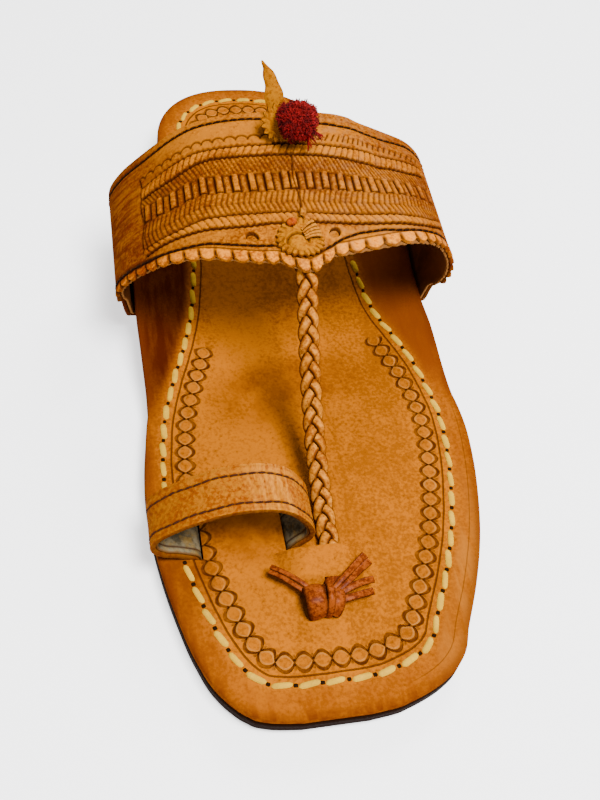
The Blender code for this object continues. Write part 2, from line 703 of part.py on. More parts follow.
def build_knot():
    """The knot in front of the bridge, with its tails and the stub that meets the braid."""
    floor = INSOLE_TOP + GAP
    shape = bmesh.new()
    bmesh.ops.create_uvsphere(shape, u_segments=14, v_segments=9, radius=0.5)
    for vert in shape.verts:
        x, y, z = vert.co
        groove = 1 - 0.10 * math.cos(3 * math.pi * x) * (0.25 - x * x) * 4
        vert.co = (x * KNOT_WIDTH, y * KNOT_DEPTH * groove,
                   max(z, -0.36) * KNOT_HEIGHT * groove)
    low = min(vert.co.z for vert in shape.verts)
    bmesh.ops.translate(shape, vec=(KNOT_X, KNOT_Y, floor - low), verts=shape.verts)
    knot = new_object("knot", shape, "tooled_leather")
    for n, (sx, sy, tx, ty, height, start_width, tip_width) in enumerate(KNOT_TAILS):
        start = Vector((KNOT_X + sx * KNOT_WIDTH, KNOT_Y + sy * KNOT_WIDTH,
                        floor + 0.4 * KNOT_HEIGHT))
        tip = Vector((KNOT_X + tx * KNOT_WIDTH, KNOT_Y + ty * KNOT_WIDTH,
                      floor + height * KNOT_HEIGHT))
        middle = (start + tip) / 2 + Vector((0, 0, 0.06 * KNOT_HEIGHT))
        shares = (start_width, (start_width + tip_width) / 2, tip_width)
        widths = [share * KNOT_WIDTH for share in shares]
        tail = build_strip(f"tail_form_{n + 1}", (start, middle, tip), widths, TAIL_THICKNESS)
        combine(knot, tail, "UNION")
    flat = BRIDGE_HEIGHT - BRIDGE_ROOF - 3 * GAP
    middle_z = floor + flat / 2
    stub = build_strip("stub_form", ((KNOT_X / 2 + BRAID_X / 2, KNOT_Y, middle_z),
                                     (BRAID_X, BRIDGE_FRONT, middle_z),
                                     (BRAID_X, BRAID_END - GAP, middle_z)),
                       (BRAID_TOE_WIDTH,) * 3, flat)
    combine(knot, stub, "UNION")
    return knot


def crown(x, y):
    """Height and slope along Y of the band's outer surface near its crown."""
    share = (y - BAND_FRONT) / BAND_DEPTH
    side = -1 if x < 0 else 1
    line = float(np.interp(abs(x), [0, abs(band_point(1, side, share)[0])], [0, 1]))
    here = band_point(line, side, share)
    ahead = band_point(line, side, share + 0.02)
    return here[2], (ahead[2] - here[2]) / (ahead[1] - here[1])


def build_rosette(name, place, radius, dome):
    """A toothed disc of leather that lies on the band, its middle raised by dome."""
    x, y = place
    z, slope = crown(x, y)
    shape = bmesh.new()
    count = 2 * ROSETTE_TEETH
    rings = []
    levels = ((1.0, 0.0), (1.0, 0.75), (0.9, 1.0), (0.55, 1.0),
              (0.42, 1.0 + dome), (0.16, 1.0 + 1.3 * dome))
    for share, height in levels:
        ring = []
        for k in range(count):
            angle = 2 * math.pi * k / count
            tooth = TOOTH_DEPTH if k % 2 and share > 0.95 else 0.0
            reach = radius * share - tooth
            ring.append((reach * math.cos(angle), reach * math.sin(angle),
                         height * ROSETTE_THICKNESS))
        rings.append(ring)
    tube(shape, rings)
    tilt = Matrix.Rotation(math.atan(slope), 4, "X")
    bmesh.ops.transform(shape, matrix=tilt, verts=shape.verts)
    bmesh.ops.translate(shape, vec=(x, y, z + 1.5 * GAP), verts=shape.verts)
    return new_object(name, shape, "trim_leather")


def build_ear():
    """The pointed leaf that stands up behind the pompom, curled like a horn."""
    x, y = REAR_ROSETTE[0] + EAR_OFFSET[0], REAR_ROSETTE[1] + EAR_OFFSET[1]
    z = crown(x, y + EAR_THICKNESS + 0.03 * EAR_HEIGHT)[0] + SEAT
    rows = [
        # height, sideways, back, width, as shares of EAR_HEIGHT and EAR_WIDTH
        (0.00, 0.020, 0.03, 0.80),
        (0.16, 0.020, 0.15, 1.00),
        (0.34, 0.000, 0.25, 0.98),
        (0.52, -0.040, 0.33, 0.84),
        (0.70, -0.110, 0.38, 0.62),
        (0.86, -0.190, 0.40, 0.36),
        (1.00, -0.270, 0.39, 0.10),
    ]
    shape = bmesh.new()
    rings = []
    for up, sideways, back, width in rows:
        centre = Vector((x + sideways * EAR_HEIGHT, y + back * EAR_HEIGHT, z + up * EAR_HEIGHT))
        half = width * EAR_WIDTH / 2
        ring = []
        for across, depth in ((-1, 0.3), (-0.5, -0.1), (0, -0.25), (0.5, -0.1), (1, 0.3),
                              (0.5, 0.9), (0, 0.75), (-0.5, 0.9)):
            ring.append(centre + Vector((across * half, depth * EAR_THICKNESS, 0.0)))
        rings.append(ring)
    tube(shape, rings)
    return new_object("ear", shape, "trim_leather")


def build_pompom():
    """The wool pompom: a ball whose locks stand out from it."""
    x, y = POMPOM
    shape = bmesh.new()
    bmesh.ops.create_icosphere(shape, subdivisions=3, radius=1.0)
    z = crown(x, y)[0] + SEAT + POMPOM_RADIUS
    for n, vert in enumerate(shape.verts):
        out = vert.co.normalized()
        lock = 0.5 + 0.5 * math.sin(12.9898 * n + 4.1)
        vert.co = out * (POMPOM_RADIUS - LOCK_LENGTH * lock)
    bmesh.ops.translate(shape, vec=(x, y, z), verts=shape.verts)
    return new_object("pompom", shape, "red_wool")


def main():
    clear_scene()
    build_outsole()
    build_heel()
    build_insole()
    build_upper()
    build_toe_loop()
    build_knot()
    build_rosette("front_rosette", FRONT_ROSETTE, FRONT_ROSETTE_RADIUS, 0.9)
    build_rosette("rear_rosette", REAR_ROSETTE, REAR_ROSETTE_RADIUS, 0.1)
    build_ear()
    build_pompom()


main()
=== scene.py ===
"""Looks of the kolhapuri sandal: leather, tooling, stitching, braid, rosettes and pompom.

X runs across the foot (minus is the big toe's side), Y from the toe to the heel and Z up,
in metres, with the origin on the floor under the middle of the sandal.
"""

import math
import random

import bpy
import numpy as np
from mathutils import Matrix, Vector
from mathutils.kdtree import KDTree


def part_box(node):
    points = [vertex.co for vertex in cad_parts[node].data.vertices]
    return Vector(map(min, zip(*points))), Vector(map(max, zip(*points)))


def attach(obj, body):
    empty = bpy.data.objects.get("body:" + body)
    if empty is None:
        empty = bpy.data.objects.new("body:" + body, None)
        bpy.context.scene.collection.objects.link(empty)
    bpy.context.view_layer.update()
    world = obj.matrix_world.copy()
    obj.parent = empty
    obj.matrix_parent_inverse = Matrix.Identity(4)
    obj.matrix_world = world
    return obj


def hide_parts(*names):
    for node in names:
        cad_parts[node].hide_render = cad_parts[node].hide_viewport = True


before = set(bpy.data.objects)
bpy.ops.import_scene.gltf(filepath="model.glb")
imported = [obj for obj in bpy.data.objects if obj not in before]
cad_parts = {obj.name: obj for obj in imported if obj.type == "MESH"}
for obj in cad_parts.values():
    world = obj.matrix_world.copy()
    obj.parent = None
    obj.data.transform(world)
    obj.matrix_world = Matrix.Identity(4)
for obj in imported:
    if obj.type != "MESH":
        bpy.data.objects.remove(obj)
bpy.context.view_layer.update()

bl_info = {
    "name": "Kolhapuri sandal",
    "version": (1, 0, 0),
    "blender": (4, 5, 0),
    "location": "3D View > Sidebar > Sandal",
    "description": "Dresses a kolhapuri sandal in tooled leather, stitching and trim",
    "category": "Object",
}

MILLIMETRE = 0.001

# The construction's driving dimensions, which the looks share with the solids.
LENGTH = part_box("insole")[1][1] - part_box("insole")[0][1]
TOE_END = -LENGTH / 2
BALL_HALF = 0.054
HEEL_HALF = 0.0358
HEEL_ROUND = 0.040
TOE_SPRING = 0.002
SPRING_START = 0.110
OUTSOLE_THICKNESS = 0.0045
INSOLE_THICKNESS = 0.0032
HEEL_LIFT = 0.010
RISE_START = 0.006
RISE_END = 0.066
LIFT_COUNT = 3
WING_LIFT = 0.007
WING_BEND = 0.027
WING_FRONT = -0.031
WING_FULL = 0.002
WING_FADE = 0.054
WING_REAR = 0.082
BAND_HALF = 0.058
BAND_WALL = 0.0026
BAND_FRONT = -0.014
BAND_DEPTH = 0.060
FRONT_CROWN = 0.0525
REAR_CROWN = 0.0546
TUCK_REACH = 0.037
TUCK_WALL = 0.0014
TONGUE_HALF = 0.010
TONGUE_DIP = 0.0045
BRAID_WIDTH = 0.0070
BRAID_TOE_WIDTH = 0.0066
BRAID_X = -0.0008
BRAID_END = TOE_END + 0.0445
LOOP_HALF = 0.0241
LOOP_X = -0.0298
LOOP_Y = TOE_END + 0.0595
LOOP_HEIGHT = 0.0255
LOOP_WIDTH = 0.0148
LOOP_WALL = 0.0024
LOOP_LEAN = 0.0015
LEG_MEDIAL = -0.0398
LEG_LATERAL = -0.0122
BRIDGE_X = -0.0050
BRIDGE_HALF = 0.0150
BRIDGE_REAR = TOE_END + 0.0505
BRIDGE_FRONT = TOE_END + 0.0395
BRIDGE_HEIGHT = 0.0048
KNOT_X = -0.0058
KNOT_Y = TOE_END + 0.0340
KNOT_WIDTH = 0.0120
KNOT_DEPTH = 0.0092
KNOT_HEIGHT = 0.0072
FRONT_ROSETTE = (-0.0018, -0.0078)
FRONT_ROSETTE_RADIUS = 0.0077
REAR_ROSETTE = (-0.0010, 0.0372)
REAR_ROSETTE_RADIUS = 0.0064
ROSETTE_THICKNESS = 0.0012
EAR_OFFSET = (-0.0018, 0.0034)
EAR_HEIGHT = 0.0165
EAR_WIDTH = 0.0062
EAR_THICKNESS = 0.0013
POMPOM = (0.0026, 0.0314)
POMPOM_RADIUS = 0.0071
GAP = 0.0003
INSOLE_TOP = OUTSOLE_THICKNESS + GAP + INSOLE_THICKNESS
SEAT = 2.5 * GAP + 1.1 * ROSETTE_THICKNESS
DISC_SEAT = 1.5 * GAP + 0.0004
# How fast the front rosette bends down with the band, and the roundness of the heel's plan.
DISC_BEND = 27.0
HEEL_POWER = 2.4
FINE_STEP = 0.25 * MILLIMETRE
FINE_WELD = 2e-6

SOLE_OUTLINE = [
    # station, medial, lateral
    (0.0000, 0.330, 0.020),
    (0.0028, 0.440, 0.150),
    (0.0075, 0.535, 0.240),
    (0.0150, 0.600, 0.345),
    (0.0280, 0.670, 0.470),
    (0.0440, 0.731, 0.560),
    (0.0810, 0.815, 0.655),
    (0.1290, 0.885, 0.770),
    (0.1840, 0.944, 0.875),
    (0.2390, 0.980, 0.948),
    (0.2940, 0.987, 0.998),
    (0.3490, 0.960, 1.020),
    (0.3930, 0.928, 1.003),
    (0.4410, 0.860, 0.945),
    (0.4960, 0.780, 0.861),
    (0.5510, 0.728, 0.787),
    (0.6070, 0.710, 0.755),
    (0.6800, 0.700, 0.735),
    (0.7540, 0.685, 0.708),
    (0.8090, 0.676, 0.690),
]
WING_OUTLINE = [
    # station, medial, lateral
    (0.393, 0.928, 1.003),
    (0.423, 0.926, 0.990),
    (0.460, 0.932, 0.975),
    (0.515, 0.941, 0.961),
    (0.570, 0.944, 0.954),
    (0.625, 0.944, 0.954),
    (0.680, 0.938, 0.948),
    (0.717, 0.895, 0.905),
    (0.746, 0.825, 0.835),
    (0.772, 0.750, 0.762),
    (0.801, 0.690, 0.700),
]
# Inset of the cream stitching from the sole's edge, in shares of BALL_HALF.
STITCH_INSET = [
    # station, medial, lateral
    (0.000, 0.185, 0.185),
    (0.150, 0.140, 0.176),
    (0.340, 0.104, 0.157),
    (0.450, 0.109, 0.139),
    (0.520, 0.130, 0.154),
    (0.630, 0.185, 0.172),
    (0.800, 0.150, 0.150),
    (1.000, 0.150, 0.150),
]


def smoothstep(value):
    share = np.clip(value, 0.0, 1.0)
    return share * share * (3 - 2 * share)


def unit(vectors):
    """Vectors made one long."""
    return vectors / np.linalg.norm(vectors, axis=-1, keepdims=True)


def nearest(share, steps):
    """The whole step that is nearest to a share of all the steps."""
    return np.round(share * steps).astype(int)


def lengths_along(points):
    """Length along a run of points at each of them."""
    steps = np.linalg.norm(np.diff(points, axis=0), axis=1)
    return np.concatenate(([0.0], np.cumsum(steps)))


def rows_at(table, place):
    """Read a table between its rows on a Catmull-Rom curve; place counts rows from 0."""
    rows = np.asarray(table, dtype=float)
    place = np.asarray(place, dtype=float)
    first = np.clip(np.floor(place).astype(int), 0, len(rows) - 2)
    padded = np.vstack((2 * rows[0] - rows[1], rows, 2 * rows[-1] - rows[-2]))
    a, b, c, d = (padded[first + k] for k in range(4))
    t = (place - first)[..., None]
    return 0.5 * (2 * b + (c - a) * t + (2 * a - 5 * b + 4 * c - d) * t ** 2
                  + (3 * b - a - 3 * c + d) * t ** 3)


def sole_rise(y):
    """Height of the outsole's underside over the floor at a place along the sandal."""
    arch = HEEL_LIFT * smoothstep((y - RISE_START) / (RISE_END - RISE_START))
    ahead = np.maximum(0.0, -y - SPRING_START) / (LENGTH / 2 - SPRING_START)
    return arch + TOE_SPRING * ahead ** 2


def outline_edge(table, y, side):
    """Share of an outline table at places along the sandal; side is -1 medial, +1 lateral."""
    rows = np.asarray(table)
    stations, shares = rows[:, 0], rows[:, 1 if side < 0 else 2]
    slopes = np.gradient(shares, stations)
    station = np.clip(y / LENGTH + 0.5, stations[0], stations[-1])
    k = np.clip(np.searchsorted(stations, station, "right") - 1, 0, len(stations) - 2)
    span = stations[k + 1] - stations[k]
    t = (station - stations[k]) / span
    return (shares[k] * (1 + 2 * t) * (1 - t) ** 2 + shares[k + 1] * t * t * (3 - 2 * t)
            + span * (slopes[k] * t * (1 - t) ** 2 - slopes[k + 1] * t * t * (1 - t)))


def sole_edge(y, side):
    """Plan place of the outsole's edge; the back of the heel is a superellipse."""
    y = np.asarray(y, dtype=float)
    start = LENGTH / 2 - HEEL_ROUND
    share = np.clip((y - start) / HEEL_ROUND, 0.0, 1.0)
    heel = HEEL_HALF * (1 - share ** HEEL_POWER) ** (1 / HEEL_POWER)
    front = BALL_HALF * outline_edge(SOLE_OUTLINE, y, side)
    return side * np.where(y <= start, front, heel)


def insole_edge(y, side):
    """Plan place of the insole's edge, which runs out along the wings."""
    y = np.asarray(y, dtype=float)
    edge = sole_edge(y, side)
    station = y / LENGTH + 0.5
    inside = (station >= WING_OUTLINE[0][0]) & (station <= WING_OUTLINE[-1][0])
    wing = BALL_HALF * outline_edge(WING_OUTLINE, y, side)
    return side * np.where(inside, np.maximum(np.abs(edge), wing), np.abs(edge))


def wing_lift(y):
    front = smoothstep((y - WING_FRONT) / (WING_FULL - WING_FRONT))
    rear = smoothstep((WING_REAR - y) / (WING_REAR - WING_FADE))
    return WING_LIFT * np.minimum(front, rear)


def wing_bend(x, y):
    """How far the insole is bent up at points of its plan."""
    edge = np.where(x < 0, -insole_edge(y, -1), insole_edge(y, 1))
    share = np.maximum(0.0, np.abs(x) - WING_BEND) / np.maximum(edge - WING_BEND, GAP)
    return wing_lift(y) * np.minimum(share, 1.0) ** 1.5


def insole_under(x, y):
    return sole_rise(y) + OUTSOLE_THICKNESS + GAP + wing_bend(x, y)


def bridge_bulge(x, y):
    """Height of the raised bridge over the insole, closed softly at its front."""
    along = (y - BRIDGE_REAR) / (BRIDGE_FRONT - BRIDGE_REAR)
    across = np.clip((x - BRIDGE_X) / BRIDGE_HALF, -1, 1)
    height = BRIDGE_HEIGHT * (1 - 0.18 * np.clip(along, 0, 1) ** 2)
    ahead = 1 - smoothstep((along - 0.82) / 0.42)
    behind = smoothstep((along + 0.06) / 0.08)
    return height * smoothstep((1 - np.abs(across)) / 0.62) * ahead * behind


def insole_top(x, y):
    return insole_under(x, y) + INSOLE_THICKNESS + bridge_bulge(x, y)


def connect(tree, node, sockets):
    """Feed a node's sockets, by name or number, with wires or with fixed values."""
    for key, value in sockets.items():
        if isinstance(value, Wire):
            tree.links.new(value.socket, node.inputs[key])
        else:
            node.inputs[key].default_value = value


def math_operator(operation):
    """A method that adds a Math node of this operation to a wire."""
    return lambda wire, other=0.0: wire.math(operation, other)


class Wire:
    """A socket of a material's node tree that Python's operators work on."""

    def __init__(self, tree, socket=None):
        self.tree = tree
        self.socket = socket

    def node(self, kind, sockets=None, output=0, **options):
        """Add a node, set it, feed its sockets and return an output."""
        made = self.tree.nodes.new(kind)
        for name, value in options.items():
            setattr(made, name, value)
        connect(self.tree, made, sockets or {})
        return Wire(self.tree, made.outputs[output])

    def math(self, operation, other=0.0, third=0.0):
        return self.node("ShaderNodeMath", {0: self, 1: other, 2: third}, operation=operation)

    def __rsub__(self, other):
        return self.math("MULTIPLY_ADD", -1.0, other)

    __add__ = __radd__ = math_operator("ADD")
    __sub__ = math_operator("SUBTRACT")
    __mul__ = __rmul__ = math_operator("MULTIPLY")
    __truediv__ = math_operator("DIVIDE")
    __mod__ = math_operator("FLOORED_MODULO")
    __pow__ = math_operator("POWER")
    __abs__ = math_operator("ABSOLUTE")

    def step(self, low, high):
        """A soft step from 0 at low to 1 at high."""
        return self.node("ShaderNodeMapRange", {0: self, 1: low, 2: high, 3: 0.0, 4: 1.0},
                         interpolation_type="SMOOTHSTEP")

    def part(self, axis):
        return self.node("ShaderNodeSeparateXYZ", {0: self}, output=axis)

    def stretched(self, x, y, z):
        return self.node("ShaderNodeVectorMath", {0: self, 1: (x, y, z)}, operation="MULTIPLY")

    def noise(self, size, detail=3.0, roughness=0.55):
        """Noise of 0 to 1 over coordinates in metres, its lumps about size across."""
        return self.node("ShaderNodeTexNoise", {"Vector": self, "Scale": 1 / size,
                                                "Detail": detail, "Roughness": roughness})

    def mix(self, first, second):
        """Blend two colours, wires or numbers, by 0 for the first to 1 for the second."""
        first, second = (end if isinstance(end, Wire) else tone(end) for end in (first, second))
        return self.node("ShaderNodeMix", {0: self, 6: first, 7: second}, output=2,
                         data_type="RGBA")

    def bump(self):
        """The normal that a height in metres gives."""
        return self.node("ShaderNodeBump", {"Strength": 1.0, "Distance": 1.0, "Height": self})

    def place(self):
        """Place on the piece in metres."""
        return self.node("ShaderNodeTexCoord", output="Object")

    def map(self):
        """The piece's own map, its two numbers in metres."""
        return self.node("ShaderNodeUVMap", uv_map="UVMap")

    def held(self, name):
        """A number that each vertex holds."""
        return self.node("ShaderNodeAttribute", output="Fac", attribute_name=name)


def finish(name):
    """A new material and a bare wire to start its nodes from."""
    material = bpy.data.materials.new(name)
    material.use_nodes = True
    return material, Wire(material.node_tree)


def feed(material, **sockets):
    """Feed a material's shader with wires or fixed values; socket names have _ for spaces."""
    shader = material.node_tree.nodes["Principled BSDF"]
    connect(material.node_tree, shader,
            {name.replace("_", " "): value for name, value in sockets.items()})


def ink_and_shade_of(bare):
    """The dark that a piece's vertices hold, in tooled lines and as painted shade."""
    return bare.held("ink")


def tone(colour, value=1.0):
    """A colour as four numbers, made darker or lighter by value."""
    return tuple(channel * value for channel in colour[:3]) + (1.0,)


def deselect():
    """Leave nothing selected, so that an operator acts on its own piece alone."""
    if bpy.context.object and bpy.context.object.mode != "OBJECT":
        bpy.ops.object.mode_set(mode="OBJECT")
    bpy.ops.object.select_all(action="DESELECT")


def only(piece):
    deselect()
    piece.select_set(True)
    bpy.context.view_layer.objects.active = piece


def added(add, **options):
    """Add an object by one of Blender's add operators, with nothing else selected."""
    deselect()
    add(**options)
    return bpy.context.object


def points_of(piece):
    flat = np.empty(len(piece.data.vertices) * 3)
    piece.data.vertices.foreach_get("co", flat)
    return flat.reshape(-1, 3)


def place_points(piece, points):
    piece.data.vertices.foreach_set("co", np.ascontiguousarray(points, dtype=float).ravel())
    piece.data.update()


def sheet(name, columns, rows, place):
    """Add a grid and lay it on a surface, which place(u, v) gives for shares from 0 to 1."""
    piece = added(bpy.ops.mesh.primitive_grid_add, x_subdivisions=columns, y_subdivisions=rows,
                  size=2)
    piece.name = piece.data.name = name
    flat = points_of(piece)
    u, v = (flat[:, 0] + 1) / 2, (flat[:, 1] + 1) / 2
    place_points(piece, place(u, v))
    return piece, u, v


def store(piece, name, values):
    """Keep a number for each vertex, which a material reads as an attribute."""
    held = piece.data.attributes.new(name, "FLOAT", "POINT")
    held.data.foreach_set("value", np.ascontiguousarray(values, dtype=np.float32))


def store_map(piece, u, v):
    """Write two numbers for each vertex into the piece's UV map."""
    mesh = piece.data
    corners = np.empty(len(mesh.loops), dtype=np.int32)
    mesh.loops.foreach_get("vertex_index", corners)
    flat = np.empty(len(corners) * 2, dtype=np.float32)
    flat[0::2] = np.asarray(u)[corners]
    flat[1::2] = np.asarray(v)[corners]
    mesh.uv_layers[0].data.foreach_set("uv", flat)


def weld(piece, distance=1e-5, fill=False):
    """Merge what lies together, fill openings if asked and turn the faces outwards."""
    only(piece)
    bpy.ops.object.mode_set(mode="EDIT")
    bpy.ops.mesh.select_all(action="SELECT")
    bpy.ops.mesh.remove_doubles(threshold=distance)
    if fill:
        bpy.ops.mesh.fill_holes(sides=0)
    else:
        bpy.ops.mesh.dissolve_degenerate(threshold=1e-7)
    bpy.ops.mesh.select_all(action="SELECT")
    bpy.ops.mesh.normals_make_consistent(inside=False)
    bpy.ops.object.mode_set(mode="OBJECT")


def smooth(piece, degrees=50):
    only(piece)
    bpy.ops.object.shade_smooth_by_angle(angle=math.radians(degrees))


def modify(piece, kind, **options):
    """Add a modifier with these options and apply it."""
    only(piece)
    step = piece.modifiers.new(kind.lower(), kind)
    for name, value in options.items():
        setattr(step, name, value)
    bpy.ops.object.modifier_apply(modifier=step.name)


def dress(piece, material, replaced=()):
    """Give a finished piece its material, its body and the nodes it stands for."""
    piece.data.materials.clear()
    piece.data.materials.append(material)
    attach(piece, "root")
    if replaced:
        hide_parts(*replaced)


def joined(name, pattern, copies):
    """One mesh of many copies of a pattern piece; copies holds each one's placed points."""
    mesh = pattern.data
    count = len(mesh.vertices)
    faces = [tuple(face.vertices) for face in mesh.polygons]
    points = np.concatenate(copies)
    all_faces = [tuple(i + k * count for i in face) for k in range(len(copies)) for face in faces]
    made = bpy.data.meshes.new(name)
    made.from_pydata(points.tolist(), [], all_faces)
    made.update()
    piece = bpy.data.objects.new(name, made)
    bpy.context.collection.objects.link(piece)
    bpy.data.objects.remove(pattern, do_unlink=True)
    return piece


def closed_outline(edge, steps, front_steps=8):
    """An outline as one closed loop, from the toe along the lateral side and back."""
    toe = np.array((edge(TOE_END, 1), edge(TOE_END, -1)))
    middle = toe.mean()
    t = np.linspace(0, 1, steps + 1)[1:]
    heel_start = 1 - HEEL_ROUND / LENGTH
    body = TOE_END + LENGTH * heel_start * (t * t * (1.6 - 0.6 * t))
    turn = np.linspace(0, 1, steps // 4 + 1)[1:] * np.pi / 2
    heel = LENGTH / 2 - HEEL_ROUND * (1 - np.sin(turn) ** (2 / HEEL_POWER))
    y = np.concatenate((np.full(front_steps, TOE_END), [TOE_END], body, heel))
    grow = np.concatenate((np.arange(front_steps) / front_steps, [1.0]))
    halves = []
    for side in (1, -1):
        x = edge(y, side)
        x[:front_steps + 1] = middle + (edge(TOE_END, side) - middle) * grow
        x[-1] = 0.0
        halves.append(np.column_stack((x, y)))
    return np.vstack((halves[0], halves[1][-2:0:-1]))


def resampled(points, spacing):
    """A run of points with even steps of about spacing, and the lengths along it."""
    length = lengths_along(points)
    count = max(2, int(round(length[-1] / spacing)))
    wanted = np.linspace(0, length[-1], count + 1)
    made = np.column_stack([np.interp(wanted, length, values) for values in points.T])
    return made, wanted


def resampled_loop(loop, spacing):
    """A closed loop with even steps, and the length along it at each point."""
    made, wanted = resampled(np.vstack((loop, loop[:1])), spacing)
    return made[:-1], wanted[:-1]


def softened(loop, passes):
    """A closed loop of even steps with its small corners smoothed away."""
    for _ in range(passes):
        loop = (np.roll(loop, 1, axis=0) + 2 * loop + np.roll(loop, -1, axis=0)) / 4
    return loop


def stitch_loop(extra=0.0):
    """The line of the cream stitching round the footbed, in even quarter millimetres."""
    loop, _ = resampled_loop(closed_outline(sole_edge, 300), FINE_STEP)
    loop = softened(loop, 40)
    ahead = unit(np.roll(loop, -4, axis=0) - np.roll(loop, 4, axis=0))
    inward = np.column_stack((-ahead[:, 1], ahead[:, 0]))
    stations = loop[:, 1] / LENGTH + 0.5
    rows = np.asarray(STITCH_INSET)
    share = smoothstep((loop[:, 0] + 0.016) / 0.02)
    medial = np.interp(stations, rows[:, 0], rows[:, 1])
    lateral = np.interp(stations, rows[:, 0], rows[:, 2])
    inset = BALL_HALF * (medial + (lateral - medial) * share) + extra
    inner = loop + inward * inset[:, None]
    passes = 700 if extra else 60
    start = np.argmin(np.hypot(inner[:, 0] - 0.03, inner[:, 1] - 0.035))
    inner = np.roll(softened(inner, passes), -start, axis=0)
    even, along = resampled_loop(inner, FINE_STEP)
    return softened(even, 20), along


def eased(run, passes):
    """An open run with its small corners smoothed away and its ends kept."""
    for _ in range(passes):
        run[1:-1] = (run[:-2] + 2 * run[1:-1] + run[2:]) / 4
    return run


def plan_tree(line):
    """Search tree over the plan of a line of points."""
    tree = KDTree(len(line))
    for k, (x, y) in enumerate(line):
        tree.insert((x, y, 0.0), k)
    tree.balance()
    return tree


def plate(name, edge, steps, rows, height):
    """A closed plate inside an outline.

    Each row is (inset, share, level): how far in from the edge in metres, then as a share
    of the rest of the way to the middle line, and 0 for the underside to 1 for the top.
    """
    loop = closed_outline(edge, steps)
    count = len(loop)
    centre_y = np.clip(loop[:, 1], TOE_END + 0.042, LENGTH / 2 - 0.9 * HEEL_ROUND)
    centre_x = (edge(centre_y, 1) + edge(centre_y, -1)) / 2
    centre = np.column_stack((centre_x, centre_y))
    reach = np.linalg.norm(centre - loop, axis=1)
    table = np.asarray(rows)

    def place(u, v):
        k = nearest(u, count) % count
        r = nearest(v, len(table) - 1)
        inset, share, level = table[r].T
        near = np.minimum(inset / reach[k], 1.0)
        part = near + (1 - near) * share
        flat = loop[k] + (centre[k] - loop[k]) * part[:, None]
        return np.column_stack((flat, height(*flat.T, level)))

    return sheet(name, count, len(rows) - 1, place)[0]


def strand(name, points, ups, widths, heights, around=10, power=1.0):
    """A closed strand along points, its flat side facing ups, with round ends."""
    count = len(points)
    ahead = unit(np.gradient(points, axis=0))
    side = unit(np.cross(ahead, ups))
    up = np.cross(side, ahead)
    widths = np.broadcast_to(widths, count)
    heights = np.broadcast_to(heights, count)

    def place(u, v):
        turn = u * 2 * np.pi
        k = np.clip(nearest(v, count + 1) - 1, 0, count - 1)
        closed = np.where((v < 1e-6) | (v > 1 - 1e-6), 0.0, 1.0)
        cosine, sine = np.cos(turn), np.sin(turn)
        across = np.sign(cosine) * np.abs(cosine) ** power * widths[k] / 2 * closed
        rise = np.sign(sine) * np.abs(sine) ** power * heights[k] / 2 * closed
        return points[k] + side[k] * across[:, None] + up[k] * rise[:, None]

    piece, u, _ = sheet(name, around, count + 1, place)
    store(piece, "edge", np.abs(np.cos(u * 2 * np.pi)))
    weld(piece, FINE_WELD)
    return piece


def merged(name, pieces):
    """Join pieces into one."""
    deselect()
    for piece in pieces:
        piece.select_set(True)
    bpy.context.view_layer.objects.active = pieces[0]
    bpy.ops.object.join()
    piece = bpy.context.object
    piece.name = piece.data.name = name
    return piece


def rounded_bar():
    """A bar from -0.5 to 0.5 along X with soft ends, the pattern of a stitch."""
    piece = added(bpy.ops.mesh.primitive_uv_sphere_add, segments=8, ring_count=8, radius=0.5)
    flat = points_of(piece)[:, [2, 0, 1]]
    square = np.abs(flat[:, 0]) * 2
    radius = np.maximum(np.hypot(flat[:, 1], flat[:, 2]), 1e-9)
    wanted = 0.5 * (1 - square ** 5) ** 0.5
    flat[:, 1:] *= (wanted / radius)[:, None]
    place_points(piece, flat)
    return piece


def stitches(name, path, normals, length, gap, width, height, start=0.0, seed=1, tilt=0.0,
             bow=0.0):
    """Thread laid along a path: bars that sink in at both ends, as joined copies of one bar."""
    rng = random.Random(seed)
    pattern = rounded_bar()
    shape = points_of(pattern)
    run = lengths_along(path)

    def at_length(values, length):
        return np.array([np.interp(length, run, column) for column in values.T])

    copies = []
    at = start
    while at + length <= run[-1] + 1e-9:
        mine = length * rng.uniform(0.93, 1.05)
        lean = tilt * rng.uniform(0.6, 1.3)
        centre = at + mine / 2
        middle = at_length(path, centre)
        front = at_length(path, centre + mine / 2)
        back = at_length(path, centre - mine / 2)
        along = unit(front - back)
        across = unit(np.cross(at_length(normals, centre), along))
        up = np.cross(along, across)
        s, w, h = shape.T
        chord = (1 - 4 * s * s)[:, None] * (middle - (front + back) / 2)
        wide = width * rng.uniform(0.9, 1.1)
        sink = bow - 0.35 * height * (2 * np.abs(s)) ** 4
        copies.append((front + back) / 2 + chord + along * (s * mine)[:, None]
                      + across * (w * wide + lean * s * mine)[:, None]
                      + up * (h * height + sink)[:, None])
        at += length + gap
    return joined(name, pattern, copies)


# Near 1, so that the steep sides of the tooling have no pale sheen.
LEATHER_IOR = 1.02
# Shine of thread, cut edges and suede, which are all but matt.
MATT = 0.01


